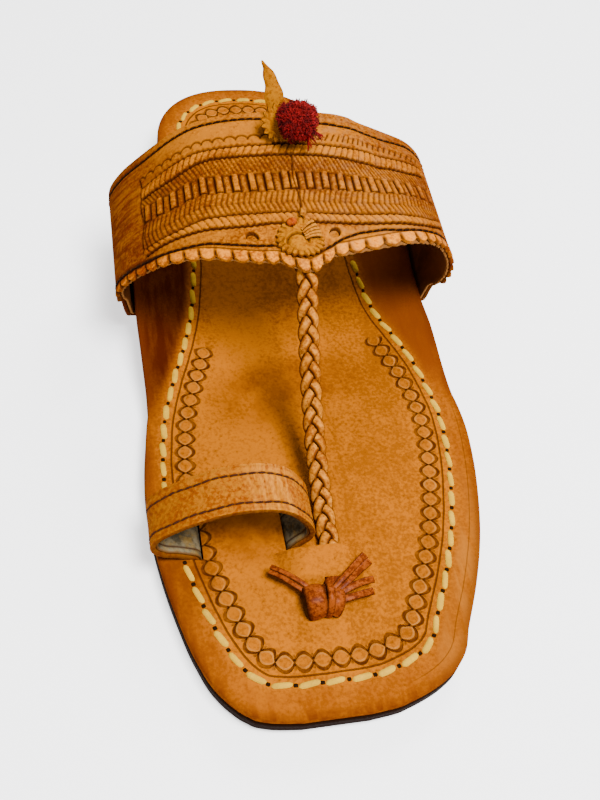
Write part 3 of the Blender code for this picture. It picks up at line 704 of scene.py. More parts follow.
def leather(name, colours, lump=0.012, streak=None, grain=0.0005, relief=0.00004, rough=0.45,
            coat=0.0, shine=0.02, specks=0.4, flecks=0.15, ink=None, height=None, extra=None):
    """Dyed and burnished leather: blotches, streaks, specks and pores over two colours.

    colours are light, dark and deep. extra(bare, colour) changes the colour, then the function for
    tooled lines and painted shade darkens it to the deep one, and height(bare) adds a relief in
    metres.
    """
    material, bare = finish(name)
    place = bare.place()
    light, dark, deep = colours
    blotch = place.noise(lump, 4.0, 0.6).step(0.33, 0.70)
    fine = place.noise(lump * 0.22, 5.0, 0.65).step(0.30, 0.74)
    mottle = place.noise(0.0011, 3.0, 0.65).step(0.38, 0.62)
    shade = blotch * 0.30 + fine * 0.24 + mottle * 0.46
    if streak:
        lines = place.stretched(*streak).noise(lump, 5.0, 0.6).step(0.34, 0.70)
        shade = shade * 0.68 + lines * 0.32
    shade = shade.step(0.20, 0.80)
    colour = shade.mix(light, dark)
    dots = place.noise(0.0011, 2.0, 0.5).step(0.66, 0.76) * specks
    colour = dots.mix(colour, deep)
    bright = place.noise(0.0009, 2.0, 0.5).step(0.56, 0.68) * flecks
    colour = bright.mix(colour, tone(light, 1.45))
    if extra:
        colour = extra(bare, colour)
    if ink:
        colour = ink(bare).mix(colour, deep)
    pores = place.noise(grain, 3.0, 0.6)
    surface = (pores - 0.5) * relief + (fine - 0.5) * (relief * 1.5)
    if height:
        surface = surface + height(bare)
    feed(material, Base_Color=colour, Normal=surface.bump(),
         Roughness=rough + (shade - 0.5) * 0.16 + (pores - 0.5) * 0.16,
         Coat_Weight=coat, Coat_Roughness=0.28, Specular_IOR_Level=shine, IOR=LEATHER_IOR)
    return material


def prop_maker(kind, **fixed):
    """A short way to declare settings of one kind."""
    def make(name, description, default, **options):
        return kind(name=name, description=description, default=default, **fixed, **options)
    return make


length_prop = prop_maker(bpy.props.FloatProperty, unit="LENGTH")
angle_prop = prop_maker(bpy.props.FloatProperty, subtype="ANGLE")
number_prop = prop_maker(bpy.props.FloatProperty)
count_prop = prop_maker(bpy.props.IntProperty)
colour_prop = prop_maker(bpy.props.FloatVectorProperty, subtype="COLOR")


class SoleSettings(bpy.types.PropertyGroup):
    """Footbed, outsole and heel."""

    stitch_length: length_prop("Stitch length", "Length of a cream stitch round the footbed",
        0.0062)
    stitch_gap: length_prop("Stitch gap", "Leather between two stitches", 0.0013)
    stitch_width: length_prop("Stitch width", "Width of the flat thread", 0.0019)
    stamp_pitch: length_prop("Stamp pitch", "Length of one link of the stamped chain", 0.0053)
    stamp_half: length_prop("Stamp half width", "Half the width of the stamped chain", 0.0028)
    stamp_inset: length_prop("Stamp inset", "Middle of the stamped chain, in from the stitching",
        0.0068)
    groove_inset: length_prop("Groove inset", "Incised line, in from the stitching", 0.0026)
    stamp_rear: length_prop("Stamp end", "Where the chain stops behind the ball of the foot",
        -0.001)
    light: colour_prop("Footbed", "Light tone of the footbed", (0.330, 0.091, 0.0))
    dark: colour_prop("Footbed shade", "Dark tone of the footbed", (0.195, 0.050, 0.0))
    deep: colour_prop("Tooling", "Colour in the stamped and incised lines", (0.034, 0.0075, 0.0020))
    thread: colour_prop("Thread", "Colour of the cream thread", (0.56, 0.315, 0.018))


def near_stitching(piece):
    """Length along and depth inside the stitching for each vertex, for the footbed's map."""
    flat = points_of(piece)
    found = []
    for extra in (0.0, bpy.context.scene.sandal_sole.stamp_inset):
        line, along = stitch_loop(extra)
        tree = plan_tree(line)
        ahead = unit(np.roll(line, -1, axis=0) - line)
        near = np.array([tree.find((x, y, 0.0))[1] for x, y, _ in flat])
        away = flat[:, :2] - line[near]
        forward = ahead[near]
        run = along[near] + (away * forward).sum(axis=1)
        found.append((run, away[:, 1] * forward[:, 0] - away[:, 0] * forward[:, 1]))
    return found[1][0], found[0][1]


def near_rim(piece):
    """How near each vertex is to the footbed's edge, 1 there and 0 from 4 mm inwards."""
    loop, _ = resampled_loop(closed_outline(insole_edge, 260), 0.4 * MILLIMETRE)
    tree = plan_tree(loop)
    apart = np.array([tree.find((x, y, 0.0))[2] for x, y, _ in points_of(piece)])
    return 1 - smoothstep(apart / 0.004)


def footbed_height(x, y, level):
    """Height of the footbed's closed plate: underside, rounded rim and top."""
    under, top = insole_under(x, y), insole_top(x, y)
    return under + (top - under) * level


def footbed_rows(rim=0.0009):
    """Rows of the footbed plate, from the middle of its underside over the rim to the top."""
    rows = [(0.0012, share, 0.0) for share in (1.0, 0.6, 0.3, 0.12, 0.0)]
    rows += [(0.0004, 0.0, 0.02), (0.0001, 0.0, 0.16), (0.0, 0.0, 0.40), (0.0001, 0.0, 0.70)]
    for k in range(1, 5):
        turn = math.pi / 2 * k / 4
        rows.append((rim * (1 - math.cos(turn)), 0.0,
                     1 - rim / INSOLE_THICKNESS * (1 - math.sin(turn))))
    for inset in (0.0016, 0.0024, 0.0034):
        rows.append((inset, 0.0, 1.0))
    for k in range(1, 30):
        rows.append((0.0034, k / 29, 1.0))
    return rows


def cut_slits(piece):
    """Open the footbed's slits for the toe loop and the tunnel for the braid."""
    sizes = []
    for x in (LEG_MEDIAL, LEG_LATERAL):
        half = LOOP_WALL / 2 + GAP
        sizes.append(((x - half, LOOP_Y - LOOP_WIDTH / 2 - GAP, 0.002),
                      (x + half, LOOP_Y + LOOP_WIDTH / 2 + GAP, 0.012)))
    half = BRAID_TOE_WIDTH / 2 + 2 * GAP
    sizes.append(((BRAID_X - half, BRIDGE_FRONT - 0.006, INSOLE_TOP - 0.5 * GAP),
                  (BRAID_X + half, BRIDGE_REAR + 0.004, INSOLE_TOP + BRIDGE_HEIGHT - 0.0015)))
    for low, high in sizes:
        middle = [(a + b) / 2 for a, b in zip(low, high)]
        cutter = added(bpy.ops.mesh.primitive_cube_add, size=1, location=middle)
        cutter.scale = [b - a for a, b in zip(low, high)]
        bpy.context.view_layer.update()
        modify(piece, "BOOLEAN", operation="DIFFERENCE", solver="EXACT", object=cutter)
        bpy.data.objects.remove(cutter, do_unlink=True)


def footbed_marks(part):
    """Ink, relief and a painted highlight of the footbed from its map: incised lines and the
    stamped chain.
    """
    sole = bpy.context.scene.sandal_sole

    def marks(bare):
        map_, place = bare.map(), bare.place()
        wobble = map_.noise(0.006, 2.0, 0.5) - 0.5
        run, depth = map_.part("X"), map_.part("Y") + wobble * 0.0004
        x, y = place.part("X"), place.part("Y")
        groove = 1 - abs(depth - sole.groove_inset).step(0.00012, 0.00040)
        turn = run / sole.stamp_pitch
        wave = abs((turn * math.pi).math("COSINE")) ** 0.66 * sole.stamp_half
        inner = abs(depth - sole.stamp_inset)
        line = 1 - abs(inner - wave).step(0.00024, 0.00074)
        inside = (wave - inner).step(0.0004, 0.0014)
        spur = 1 - abs(turn % 1.0 - 0.5).step(0.03, 0.08)
        kept = 1 - y.step(sole.stamp_rear - 0.002, sole.stamp_rear) + y.step(0.070, 0.072)
        chain = line * kept
        spurs = spur * (1 - abs(inner - 0.0014).step(0.0006, 0.0012)) * kept
        # A painted highlight along the inside of each chain link and at its spurs.
        if part == "chain_highlight":
            lip = 1 - abs(inner - wave + 0.00095).step(0.00012, 0.00050)
            return (lip + spurs * 0.3) * kept
        if part == "ink":
            edge = 1 - abs(depth + 0.0056).step(0.00008, 0.00022)
            margin = edge * x.step(0.010, 0.020) * (1 - y.step(-0.04, -0.03))
            wear_and_painted_light = place.noise(0.003, 3.0, 0.6).step(0.30, 0.62) * 0.40 + 0.60
            total = (chain * 0.95 + spurs * 0.60) * wear_and_painted_light + groove * 0.80 + margin * 0.5
            total = total + inside * kept * 0.08
            return total.node("ShaderNodeClamp", {0: total})
        return (chain * -0.00042 + groove * -0.00032 + spurs * -0.00026
                + inside * kept * 0.00034)

    return marks


# Soft dark patches on the footbed, partly stains and partly painted shadow of the toe loop and the
# band: X, Y, half width, half length, strength.
STAINS_AND_PAINTED_SHADOWS = (
    (LEG_MEDIAL - 0.004, LOOP_Y - 0.014, 0.012, 0.015, 0.85),
    (LOOP_X + 0.003, LOOP_Y - 0.001, 0.020, 0.013, 0.60),
    (BRAID_X - 0.014, BAND_FRONT - 0.012, 0.020, 0.017, 0.50),
    (BRAID_X + 0.006, BAND_FRONT - 0.004, 0.030, 0.014, 0.55),
)


def footbed_dye_and_painted_light(bare, colour):
    """The wings and the margin outside the stitching are burnished dark; painted highlights,
    painted shade and painted shadows go on top.
    """
    wing = bare.held("wing")
    map_, place = bare.map(), bare.place()
    across, along, depth = place.part("X"), place.part("Y"), map_.part("Y")
    rays = place.stretched(1.0, 0.16, 1.0).noise(0.0035, 4.0, 0.6).step(0.40, 0.62)
    # Painted highlight on the stamped chain.
    chain_highlight = footbed_marks("chain_highlight")(bare)
    patchy = place.noise(0.006, 3.0, 0.6).step(0.35, 0.65)
    colour = (chain_highlight * (0.10 + patchy * 0.36)).mix(colour, (0.46, 0.20, 0.045))
    margin = (1 - depth.step(-0.004, 0.001)) * (0.35 + rays * 0.25)
    colour = margin.mix(colour, (0.150, 0.030, 0.0020))
    # The wings are burnished dark, with painted shade on the medial wing and painted light on the
    # lateral one.
    dark = wing * (0.85 + rays * 0.13)
    burnish_and_side_light = across.step(-0.01, 0.02).mix((0.038, 0.0044, 0.0004), (0.135, 0.0270, 0.0020))
    colour = dark.mix(colour, burnish_and_side_light)
    # Painted sheen on the lateral margin towards the toe.
    wear_and_painted_light = across.step(0.012, 0.036) * (1 - along.step(-0.10, -0.05))
    wear_and_painted_light = wear_and_painted_light * (1 - depth.step(-0.0030, -0.0010)) * (0.10 + rays * 0.50)
    colour = wear_and_painted_light.mix(colour, (0.35, 0.118, 0.010))
    # Soft dark patches: stains and painted shadow of the toe loop and the band.
    for x, y, half_x, half_y, share in STAINS_AND_PAINTED_SHADOWS:
        apart = (((across - x) / half_x) ** 2 + ((along - y) / half_y) ** 2) ** 0.5
        soft = (1 - apart.step(0.35, 1.0)) * (0.55 + patchy * 0.45) * share
        colour = soft.mix(colour, (0.105, 0.0210, 0.0004))
    return (bare.held("rim") * (0.45 + rays * 0.35)).mix(colour, (0.085, 0.0150, 0.0015))


class SANDAL_OT_footbed(bpy.types.Operator):
    """Build the footbed with its wings, bridge and cream stitching"""

    bl_idname = "sandal.footbed"
    bl_label = "Footbed"

    def execute(self, context):
        sole = context.scene.sandal_sole
        footbed = plate("footbed", insole_edge, 260, footbed_rows(), footbed_height)
        weld(footbed)
        run, depth = near_stitching(footbed)
        store_map(footbed, run, depth)
        y = points_of(footbed)[:, 1]
        store(footbed, "rim", near_rim(footbed))
        store(footbed, "wing", smoothstep(-depth / 0.004) * smoothstep(
            (y - WING_FRONT + 0.006) / 0.022) * smoothstep((WING_REAR + 0.004 - y) / 0.014))
        cut_slits(footbed)
        smooth(footbed, 40)
        finish_ = leather("footbed_leather", (sole.light, sole.dark, sole.deep), lump=0.020,
                          streak=(1.0, 0.12, 1.0), rough=0.42, coat=0.0, specks=0.35,
                          ink=footbed_marks("ink"), height=footbed_marks("height"),
                          extra=footbed_dye_and_painted_light)
        dress(footbed, finish_, ("insole",))
        self.stitch(context)
        return {"FINISHED"}

    def stitch(self, context):
        """Lay the cream thread along its line, with dark bars between the stitches as painted
        shadow in the holes.
        """
        sole = context.scene.sandal_sole
        line, _ = stitch_loop()
        path = np.column_stack((line, insole_top(*line.T)))
        path = np.vstack((path, path[:1]))
        x, y, _ = path.T
        d = 0.0004
        slope_x = (insole_top(x + d, y) - insole_top(x - d, y)) / (2 * d)
        slope_y = (insole_top(x, y + d) - insole_top(x, y - d)) / (2 * d)
        normals = unit(np.column_stack((-slope_x, -slope_y, np.ones(len(path)))))
        total = lengths_along(path)[-1]
        count = int(round(total / (sole.stitch_length + sole.stitch_gap)))
        length = total / count - sole.stitch_gap
        thread = stitches("footbed_stitches", path, normals, length, sole.stitch_gap,
                          sole.stitch_width, 0.0010, tilt=0.13, bow=0.0001)
        smooth(thread)
        dress(thread, thread_finish("cream_thread", sole.thread))
        # Dark bars of painted shadow in the stitch holes.
        holes = stitches("stitch_hole_shadows", path, normals, sole.stitch_gap * 1.25,
                         length - sole.stitch_gap * 0.25, sole.stitch_width * 0.75, 0.0005,
                         start=length - sole.stitch_gap * 0.12, seed=3, bow=-0.00008)
        smooth(holes)
        dress(holes, thread_finish("hole_shadow", (0.012, 0.005, 0.002)))


def thread_finish(name, colour):
    """Waxed thread with a fine twist."""
    material, bare = finish(name)
    place = bare.place()
    fuzz = place.noise(0.0007, 3.0, 0.6)
    stain = place.noise(0.004, 3.0, 0.6).step(0.35, 0.75)
    pale = stain.mix(colour, tone(colour, 0.62))
    feed(material, Base_Color=fuzz.step(0.3, 0.7).mix(pale, tone(colour, 0.80)),
         Roughness=0.62 + fuzz * 0.12, Normal=(fuzz * 0.00012).bump(), Specular_IOR_Level=MATT)
    return material


def outsole_height(_, y, level):
    """Height of the outsole's closed plate at a place along it."""
    return sole_rise(y) + OUTSOLE_THICKNESS * level


# The outsole is one layer, so thick here that its whole edge takes the dark of a seam.
ONE_LAYER = 0.5


def edge_leather(name, light, dark, layer):
    """Cut leather edge: dark dye over fibres that run round the sole, a seam at each layer."""
    material, bare = finish(name)
    place = bare.place()
    fibres = place.stretched(0.25, 0.25, 3.0).noise(0.002, 5.0, 0.7)
    blotch = place.noise(0.010, 4.0, 0.6).step(0.35, 0.70)
    colour = (fibres.step(0.35, 0.7) * 0.6 + blotch * 0.4).mix(dark, light)
    seam = abs((place.part("Z") / layer + 0.5) % 1.0 - 0.5).step(0.03, 0.10)
    colour = (1 - seam).mix(colour, tone(dark, 0.35))
    feed(material, Base_Color=colour, Roughness=0.52 + fibres * 0.22,
         Normal=(fibres * 0.00012 + seam * 0.00008).bump(), Specular_IOR_Level=MATT)
    return material


class SANDAL_OT_soles(bpy.types.Operator):
    """Build the outsole and the stacked heel"""

    bl_idname = "sandal.soles"
    bl_label = "Outsole and heel"

    def execute(self, context):
        rows = [(0.0014, share, 0.0) for share in (1.0, 0.75, 0.5, 0.25, 0.08, 0.0)]
        rows += [(0.0006, 0.0, 0.03), (0.0001, 0.0, 0.12), (0.0, 0.0, 0.28), (0.0001, 0.0, 0.46),
                 (0.0, 0.0, 0.62), (0.0, 0.0, 0.84), (0.0003, 0.0, 0.97), (0.0012, 0.0, 1.0)]
        rows += [(0.0012, share, 1.0) for share in (0.15, 0.5, 1.0)]
        outsole = plate("outsole_leather_piece", sole_edge, 220, rows, outsole_height)
        weld(outsole)
        smooth(outsole, 40)
        dress(outsole, edge_leather("sole_edge", (0.075, 0.022, 0.004), (0.022, 0.006, 0.0012),
                                    ONE_LAYER), ("outsole",))
        self.heel()
        return {"FINISHED"}

    def heel(self):
        """Three leather lifts, each with softened edges, under the back of the outsole."""
        top = HEEL_LIFT - GAP
        layer = top / LIFT_COUNT
        turn = np.linspace(0, np.pi / 2, 24)
        y = np.concatenate((np.linspace(RISE_END, LENGTH / 2 - HEEL_ROUND, 30)[:-1],
                            LENGTH / 2 - HEEL_ROUND * (1 - np.sin(turn) ** (2 / HEEL_POWER))))
        lateral = np.column_stack((sole_edge(y, 1), y))
        breast_x = np.linspace(sole_edge(RISE_END, -1), sole_edge(RISE_END, 1), 12)[1:-1]
        breast = np.column_stack((breast_x, np.full(10, RISE_END)))
        loop = np.vstack((lateral, lateral[-2::-1] * (-1, 1), breast))
        loop[len(lateral):2 * len(lateral) - 1, 0] = sole_edge(lateral[-2::-1, 1], -1)
        centre = np.array((0.0, (RISE_END + LENGTH / 2) / 2))
        levels = [(1.0, 0.0), (0.5, 0.0), (0.06, 0.0)]
        for k in range(LIFT_COUNT):
            low, high = k * layer, (k + 1) * layer
            levels += [(0.022, low), (0.006, low + 0.00035), (0.0, low + 0.0008),
                       (0.0, high - 0.0008), (0.006, high - 0.00035), (0.022, high)]
        levels += [(0.5, top), (1.0, top)]
        table = np.asarray(levels)
        count = len(loop)

        def place(u, v):
            k = nearest(u, count) % count
            shrink, z = table[nearest(v, len(table) - 1)].T
            flat = loop[k] + (centre - loop[k]) * shrink[:, None]
            return np.column_stack((flat, z))

        heel, _, _ = sheet("heel_lifts", count, len(levels) - 1, place)
        weld(heel)
        smooth(heel, 35)
        dress(heel, edge_leather("heel_edge", (0.090, 0.029, 0.007), (0.028, 0.009, 0.002), layer),
              ("heel",))


BAND_LINES = [
    # front medial, front lateral, front height, medial front setback, lateral front setback,
    # rear medial, rear lateral, rear height, rear setback
    (0.000, 0.000, 1.000, 0.000, 0.000, 0.000, 0.000, 1.000, 0.000),
    (0.224, 0.241, 0.990, 0.012, 0.060, 0.260, 0.260, 0.987, 0.000),
    (0.380, 0.492, 0.971, 0.050, 0.125, 0.414, 0.390, 0.958, 0.000),
    (0.517, 0.652, 0.939, 0.100, 0.175, 0.526, 0.474, 0.914, 0.000),
    (0.634, 0.773, 0.886, 0.142, 0.210, 0.629, 0.620, 0.848, 0.000),
    (0.750, 0.855, 0.810, 0.183, 0.242, 0.716, 0.784, 0.764, 0.005),
    (0.841, 0.921, 0.705, 0.230, 0.275, 0.810, 0.888, 0.659, 0.017),
    (0.928, 0.974, 0.581, 0.278, 0.308, 0.905, 0.952, 0.537, 0.033),
    (0.986, 1.000, 0.438, 0.326, 0.341, 0.976, 0.990, 0.396, 0.050),
    (0.983, 0.990, 0.295, 0.385, 0.388, 0.986, 1.000, 0.270, 0.066),
    (0.959, 0.966, 0.190, 0.440, 0.440, 0.966, 0.976, 0.180, 0.080),
]
TUCK_LINES = [
    # reach, thinning, sideways, setback
    (-0.050, 0.00, 0.80, 0.010),
    (0.050, 0.05, 0.40, 0.022),
    (0.250, 0.20, 0.05, 0.035),
    (0.550, 0.55, 0.00, 0.050),
    (1.000, 1.00, 0.00, 0.060),
]
LAST_LINE = len(BAND_LINES) - 1
SCALLOP_COUNT = 18
SCALLOP_DEPTH = 0.0023
LINING_SCALLOP = 0.0024
# A strap's rows less deep than this are its outer face, which takes the tooling.
FACE_DEPTH = 0.0002

# Lines tooled or sewn round the band: places round the girth in millimetres from the crown,
# minus on the medial side, and shares of the band's depth from its front edge.
TOOL_LINES = {
    "front stitch": [(-84, 0.045), (-50, 0.045), (-40, 0.060), (-30, 0.080), (-9, 0.080),
                     (9, 0.046), (13, 0.073), (18, 0.091), (25, 0.086), (30, 0.065),
                     (40, 0.055), (84, 0.055)],
    "first line": [(-54, 0.080), (-40, 0.148), (-30, 0.180), (-20, 0.204), (-10, 0.226),
                   (3, 0.227), (10, 0.193), (20, 0.151), (35, 0.105), (45, 0.110), (56, 0.170)],
    "second line": [(-54, 0.155), (-50, 0.160), (-40, 0.200), (-30, 0.260), (-20, 0.287),
                    (-10, 0.296), (0, 0.293), (10, 0.255), (20, 0.220), (35, 0.178),
                    (45, 0.180), (56, 0.230)],
    "ladder front": [(-54, 0.360), (-40, 0.375), (-30, 0.430), (0, 0.440), (10, 0.420),
                     (20, 0.385), (30, 0.355), (45, 0.370), (56, 0.400)],
    "ladder rear": [(-54, 0.510), (-40, 0.520), (-30, 0.565), (0, 0.570), (10, 0.555),
                    (20, 0.515), (30, 0.480), (45, 0.500), (56, 0.540)],
    "third line": [(-54, 0.590), (-50, 0.596), (-40, 0.620), (-30, 0.676), (-25, 0.690),
                   (0, 0.690), (10, 0.674), (20, 0.639), (32, 0.584), (45, 0.614), (56, 0.675)],
    "fourth line": [(-54, 0.680), (-50, 0.690), (-40, 0.728), (-30, 0.760), (0, 0.763),
                    (10, 0.752), (20, 0.729), (35, 0.697), (50, 0.743), (56, 0.760)],
    "strokes": [(-54, 0.765), (-40, 0.790), (-30, 0.822), (0, 0.822), (10, 0.810),
                (20, 0.795), (35, 0.775), (56, 0.815)],
    "rear stitch": [(-84, 0.925), (-50, 0.925), (-40, 0.940), (-30, 0.955), (-10, 0.955),
                    (0, 0.940), (10, 0.917), (20, 0.901), (40, 0.892), (50, 0.925), (84, 0.930)],
}
PANEL_MEDIAL = -53.0
PANEL_LATERAL = 55.0
# Punched holes beside the front rosette: girth in millimetres, share of the depth.
PUNCHED_HOLES = ((-17.0, 0.135), (10.5, 0.124))


def band_outer(line, side, share):
    """Outer surface of the band: line counts BAND_LINES rows, share runs front to rear."""
    line, side, share = np.broadcast_arrays(*(np.asarray(a, float) for a in (line, side, share)))
    row = rows_at(BAND_LINES, line)
    medial = side < 0
    front_x = np.where(medial, row[..., 0], row[..., 1])
    setback = np.where(medial, row[..., 3], row[..., 4])
    rear_x = np.where(medial, row[..., 5], row[..., 6])
    y_front = BAND_FRONT + BAND_DEPTH * setback
    y_rear = BAND_FRONT + BAND_DEPTH * (1 + row[..., 8])
    y = y_front + (y_rear - y_front) * share
    x = side * BAND_HALF * (front_x + (rear_x - front_x) * share)
    front_z = sole_rise(y_front) + FRONT_CROWN * row[..., 2]
    rear_z = sole_rise(y_rear) + REAR_CROWN * row[..., 7]
    z = INSOLE_TOP + front_z + (rear_z - front_z) * share
    dip = TONGUE_DIP * (np.maximum(0.0, 1 - (x / TONGUE_HALF) ** 2) ** 2
                        * np.maximum(0.0, 1 - 4 * share))
    return np.stack((x, y - dip, z), axis=-1)


def girth_scale(side):
    """Places down one side of the band and their lengths from the crown."""
    line = np.linspace(0, LAST_LINE, 400)
    return line, lengths_along(band_outer(line, side, 0.5))


GIRTH = {side: girth_scale(side) for side in (-1, 1)}
HALF_GIRTH = {side: GIRTH[side][1][-1] for side in (-1, 1)}


def band_at(girth, share):
    """Point on the band's outer surface at a girth from the crown, minus on the medial side."""
    girth = np.asarray(girth, dtype=float)
    line = np.where(girth < 0, np.interp(-girth, GIRTH[-1][1], GIRTH[-1][0]),
                    np.interp(girth, GIRTH[1][1], GIRTH[1][0]))
    return band_outer(line, np.where(girth < 0, -1.0, 1.0), share)


def band_normal(girth, share):
    """Outward direction of the band at a place on it."""
    step = 0.0012
    low, high = -HALF_GIRTH[-1], HALF_GIRTH[1]
    across = (band_at(np.minimum(girth + step, high), share)
              - band_at(np.maximum(girth - step, low), share))
    share = np.asarray(share, dtype=float)
    back = (band_at(girth, np.minimum(share + 0.02, 1.0))
            - band_at(girth, np.maximum(share - 0.02, 0.0)))
    return unit(np.cross(across, back))


def band_deep(girth):
    """Depth of the band from front to rear edge at a girth, in metres."""
    return np.linalg.norm(band_at(girth, 1.0) - band_at(girth, 0.0), axis=-1)


def tuck_pair(row, side, y):
    """Outer and inner points of the band where it is tucked under a wing."""
    reach, thinning, sideways, _ = row
    edge = np.abs(insole_edge(y, side))
    wall = BAND_WALL + (TUCK_WALL - BAND_WALL) * thinning
    x = edge - (edge - TUCK_REACH) * reach
    z = insole_under(side * x, y) - 1.5 * GAP
    turn = sideways * math.pi / 2
    inner = np.stack((side * x, y, z), axis=-1)
    outer = np.stack((side * (x + wall * math.sin(turn)), y, z - wall * math.cos(turn)), axis=-1)
    return outer, inner


def band_shell(columns, table, tucks):
    """Points of the band, from one tucked end over the crown to the other.

    Each row of the table is (share, depth), the depth running from its outer face to the
    inner one. Returns the points by column and row, and the girth of each column.
    """
    shares = table[:, 0]
    girths = np.linspace(-HALF_GIRTH[-1], HALF_GIRTH[1], columns)
    grid_g, grid_t = np.meshgrid(girths, shares, indexing="ij")
    outer = band_at(grid_g, grid_t)
    inner = outer - band_normal(grid_g, grid_t) * BAND_WALL
    ends = {}
    for side in (-1, 1):
        keys = [[], []]
        for line in (LAST_LINE - 1, LAST_LINE):
            girth = side * np.interp(line, *GIRTH[side])
            face = band_at(np.full(len(shares), girth), shares)
            keys[0].append(face)
            keys[1].append(face - band_normal(np.full(len(shares), girth), shares) * BAND_WALL)
        front = band_outer(LAST_LINE, side, 0.0)[1]
        rear = band_outer(LAST_LINE, side, 1.0)[1]
        for row in TUCK_LINES:
            start = front + BAND_DEPTH * row[3]
            pair = tuck_pair(row, side, start + (rear - start) * np.clip(shares, 0, 1))
            for face, points in zip(keys, pair):
                face.append(points)
        count = len(keys[0])
        place = np.linspace(1, count - 1, tucks + 1)[1:]
        ends[side] = [rows_at(np.array(face).reshape(count, -1), place).reshape(
            tucks, len(shares), 3) for face in keys]
    outer = np.concatenate((ends[-1][0][::-1], outer, ends[1][0]))
    inner = np.concatenate((ends[-1][1][::-1], inner, ends[1][1]))
    step = girths[1] - girths[0]
    past = step * np.arange(1, tucks + 1)
    girths = np.concatenate((girths[0] - past[::-1], girths, girths[-1] + past))
    return outer + (inner - outer) * (table[:, 1] / BAND_WALL)[None, :, None], girths


def groove(distance, width):
    """Depth of a pressed line, 1 in its middle."""
    return np.exp(-(distance / width) ** 2)


def repeat(phase, width):
    """Pressed lines at each whole number of phase, width as a share of their pitch."""
    return groove((phase + 0.5) % 1.0 - 0.5, width)


def between_lines(girth, share, deep, front, rear):
    """Place between two tool lines, from -1 to 1, and a mask that is 1 between them."""
    a = line_distance(front, girth, share, deep)
    b = -line_distance(rear, girth, share, deep)
    mask = smoothstep(a / 0.35) * smoothstep(b / 0.35)
    return (a - b) / np.maximum(np.abs(a + b), 0.1), mask


def line_distance(name, girth, share, deep):
    """Distance behind a tool line, in millimetres."""
    line = np.asarray(TOOL_LINES[name])
    return (share - np.interp(girth, line[:, 0], line[:, 1])) * deep


def tooling(girth, share, deep):
    """Relief of the band in millimetres and its dark ink; girth and deep in millimetres."""
    wander = 0.25 * np.sin(girth / 3.1) + 0.18 * np.sin(girth / 1.37 + 2.0)
    share_w = share + wander / 900
    panel = (smoothstep((girth - PANEL_MEDIAL) / 0.8)
             * smoothstep((PANEL_LATERAL - girth) / 0.8))
    relief = np.zeros_like(girth)
    ink = np.zeros_like(girth)

    def press(mark, depth, dark):
        """Sink a mark by depth and ink it by dark."""
        np.subtract(relief, depth * mark, out=relief)
        np.maximum(ink, dark * mark, out=ink)

    twist = 0.16 * np.sin(2 * np.pi * girth / 1.9)
    for name in ("first line", "second line", "third line", "fourth line"):
        line = groove(line_distance(name, girth, share_w, deep) + twist, 0.52) * panel
        press(line, 0.50, 1.0)
    for name in ("ladder front", "ladder rear"):
        line = groove(line_distance(name, girth, share_w, deep), 0.24) * panel
        press(line, 0.10, 0.45)
    for front, rear, lean in (("first line", "second line", 0.45),
                              ("third line", "fourth line", -0.45)):
        w, mask = between_lines(girth, share, deep, front, rear)
        cut = repeat(girth / 2.3 + lean * w, 0.12)
        mask = mask * panel
        relief += mask * 0.34 * np.sqrt(np.maximum(0, 1 - w * w))
        press(cut * mask, 0.36, 0.62)
        press(mask * smoothstep((np.abs(w) - 0.55) / 0.4), 0.0, 0.20)
    w, mask = between_lines(girth, share, deep, "second line", "ladder front")
    cut = repeat(girth / 1.75 - 0.75 * np.abs(w), 0.17)
    middle = groove(w, 0.10)
    press(mask * panel * (0.24 * cut + 0.06 * middle), 1.0, 0.0)
    press(mask * panel * (0.62 * cut + 0.16 * middle), 0.0, 1.0)
    w, mask = between_lines(girth, share, deep, "ladder rear", "third line")
    press(repeat(girth / 1.5 + 0.8 * w, 0.17) * mask * panel, 0.26, 0.62)
    w, mask = between_lines(girth, share, deep, "ladder front", "ladder rear")
    mask = mask * panel
    phase = np.abs(girth + 1.3) / 5.3
    tab = (phase % 1.0) < 0.5
    sides = repeat(phase, 0.080) * 0.90 + repeat(phase + 0.5, 0.105)
    foot = np.where(tab, groove((w + 0.86) * 3.4, 0.32), groove((w - 0.86) * 3.4, 0.30) * 0.6)
    relief += mask * 0.30 * smoothstep(np.minimum(phase % 1.0, 0.5 - phase % 1.0) / 0.08)
    press(mask * np.maximum(sides, foot), 0.42, 1.0)
    apart = line_distance("strokes", girth, share, deep)
    row = smoothstep((1.7 - np.abs(apart)) / 0.4) * panel
    cut = repeat((girth - 0.55 * apart) / 2.3, 0.13) * row * smoothstep((girth - 1.0) / 2.0)
    along = ((girth / 3.9) % 1.0 - 0.5) * 3.9
    arc = groove(np.hypot(along, apart + 1.2) - 2.05, 0.30) * smoothstep((apart + 1.4) / 0.5)
    arc = arc * panel * smoothstep((-1.0 - girth) / 2.0) * smoothstep((2.2 - np.abs(apart)) / 0.4)
    press(np.maximum(cut, arc), 0.30, 0.80)
    for name in ("front stitch", "rear stitch"):
        press(groove(line_distance(name, girth, share, deep), 0.50), 0.34, 0.90)
    upright = np.zeros_like(girth)
    for place, low, high in ((PANEL_MEDIAL, 0.12, 0.80), (PANEL_LATERAL, 0.17, 0.78),
                             (0.4, 0.24, 0.72)):
        line = groove(girth - place - 0.5 * np.sin(share * 21), 0.34)
        ends = smoothstep((share - low) / 0.03) * smoothstep((high - share) / 0.03)
        upright = np.maximum(upright, line * ends)
    press(upright, 0.35, 0.85)
    for place, high in PUNCHED_HOLES:
        apart = np.hypot(girth - place, (share - high) * deep)
        relief += 0.18 * groove(apart - 2.7, 0.5) - 1.5 * smoothstep((2.1 - apart) / 0.7)
        press(smoothstep((2.2 - apart) / 0.7), 0.0, 1.0)
    return 1.45 * relief, 1 - (1 - np.clip(ink, 0, 1)) ** 1.8


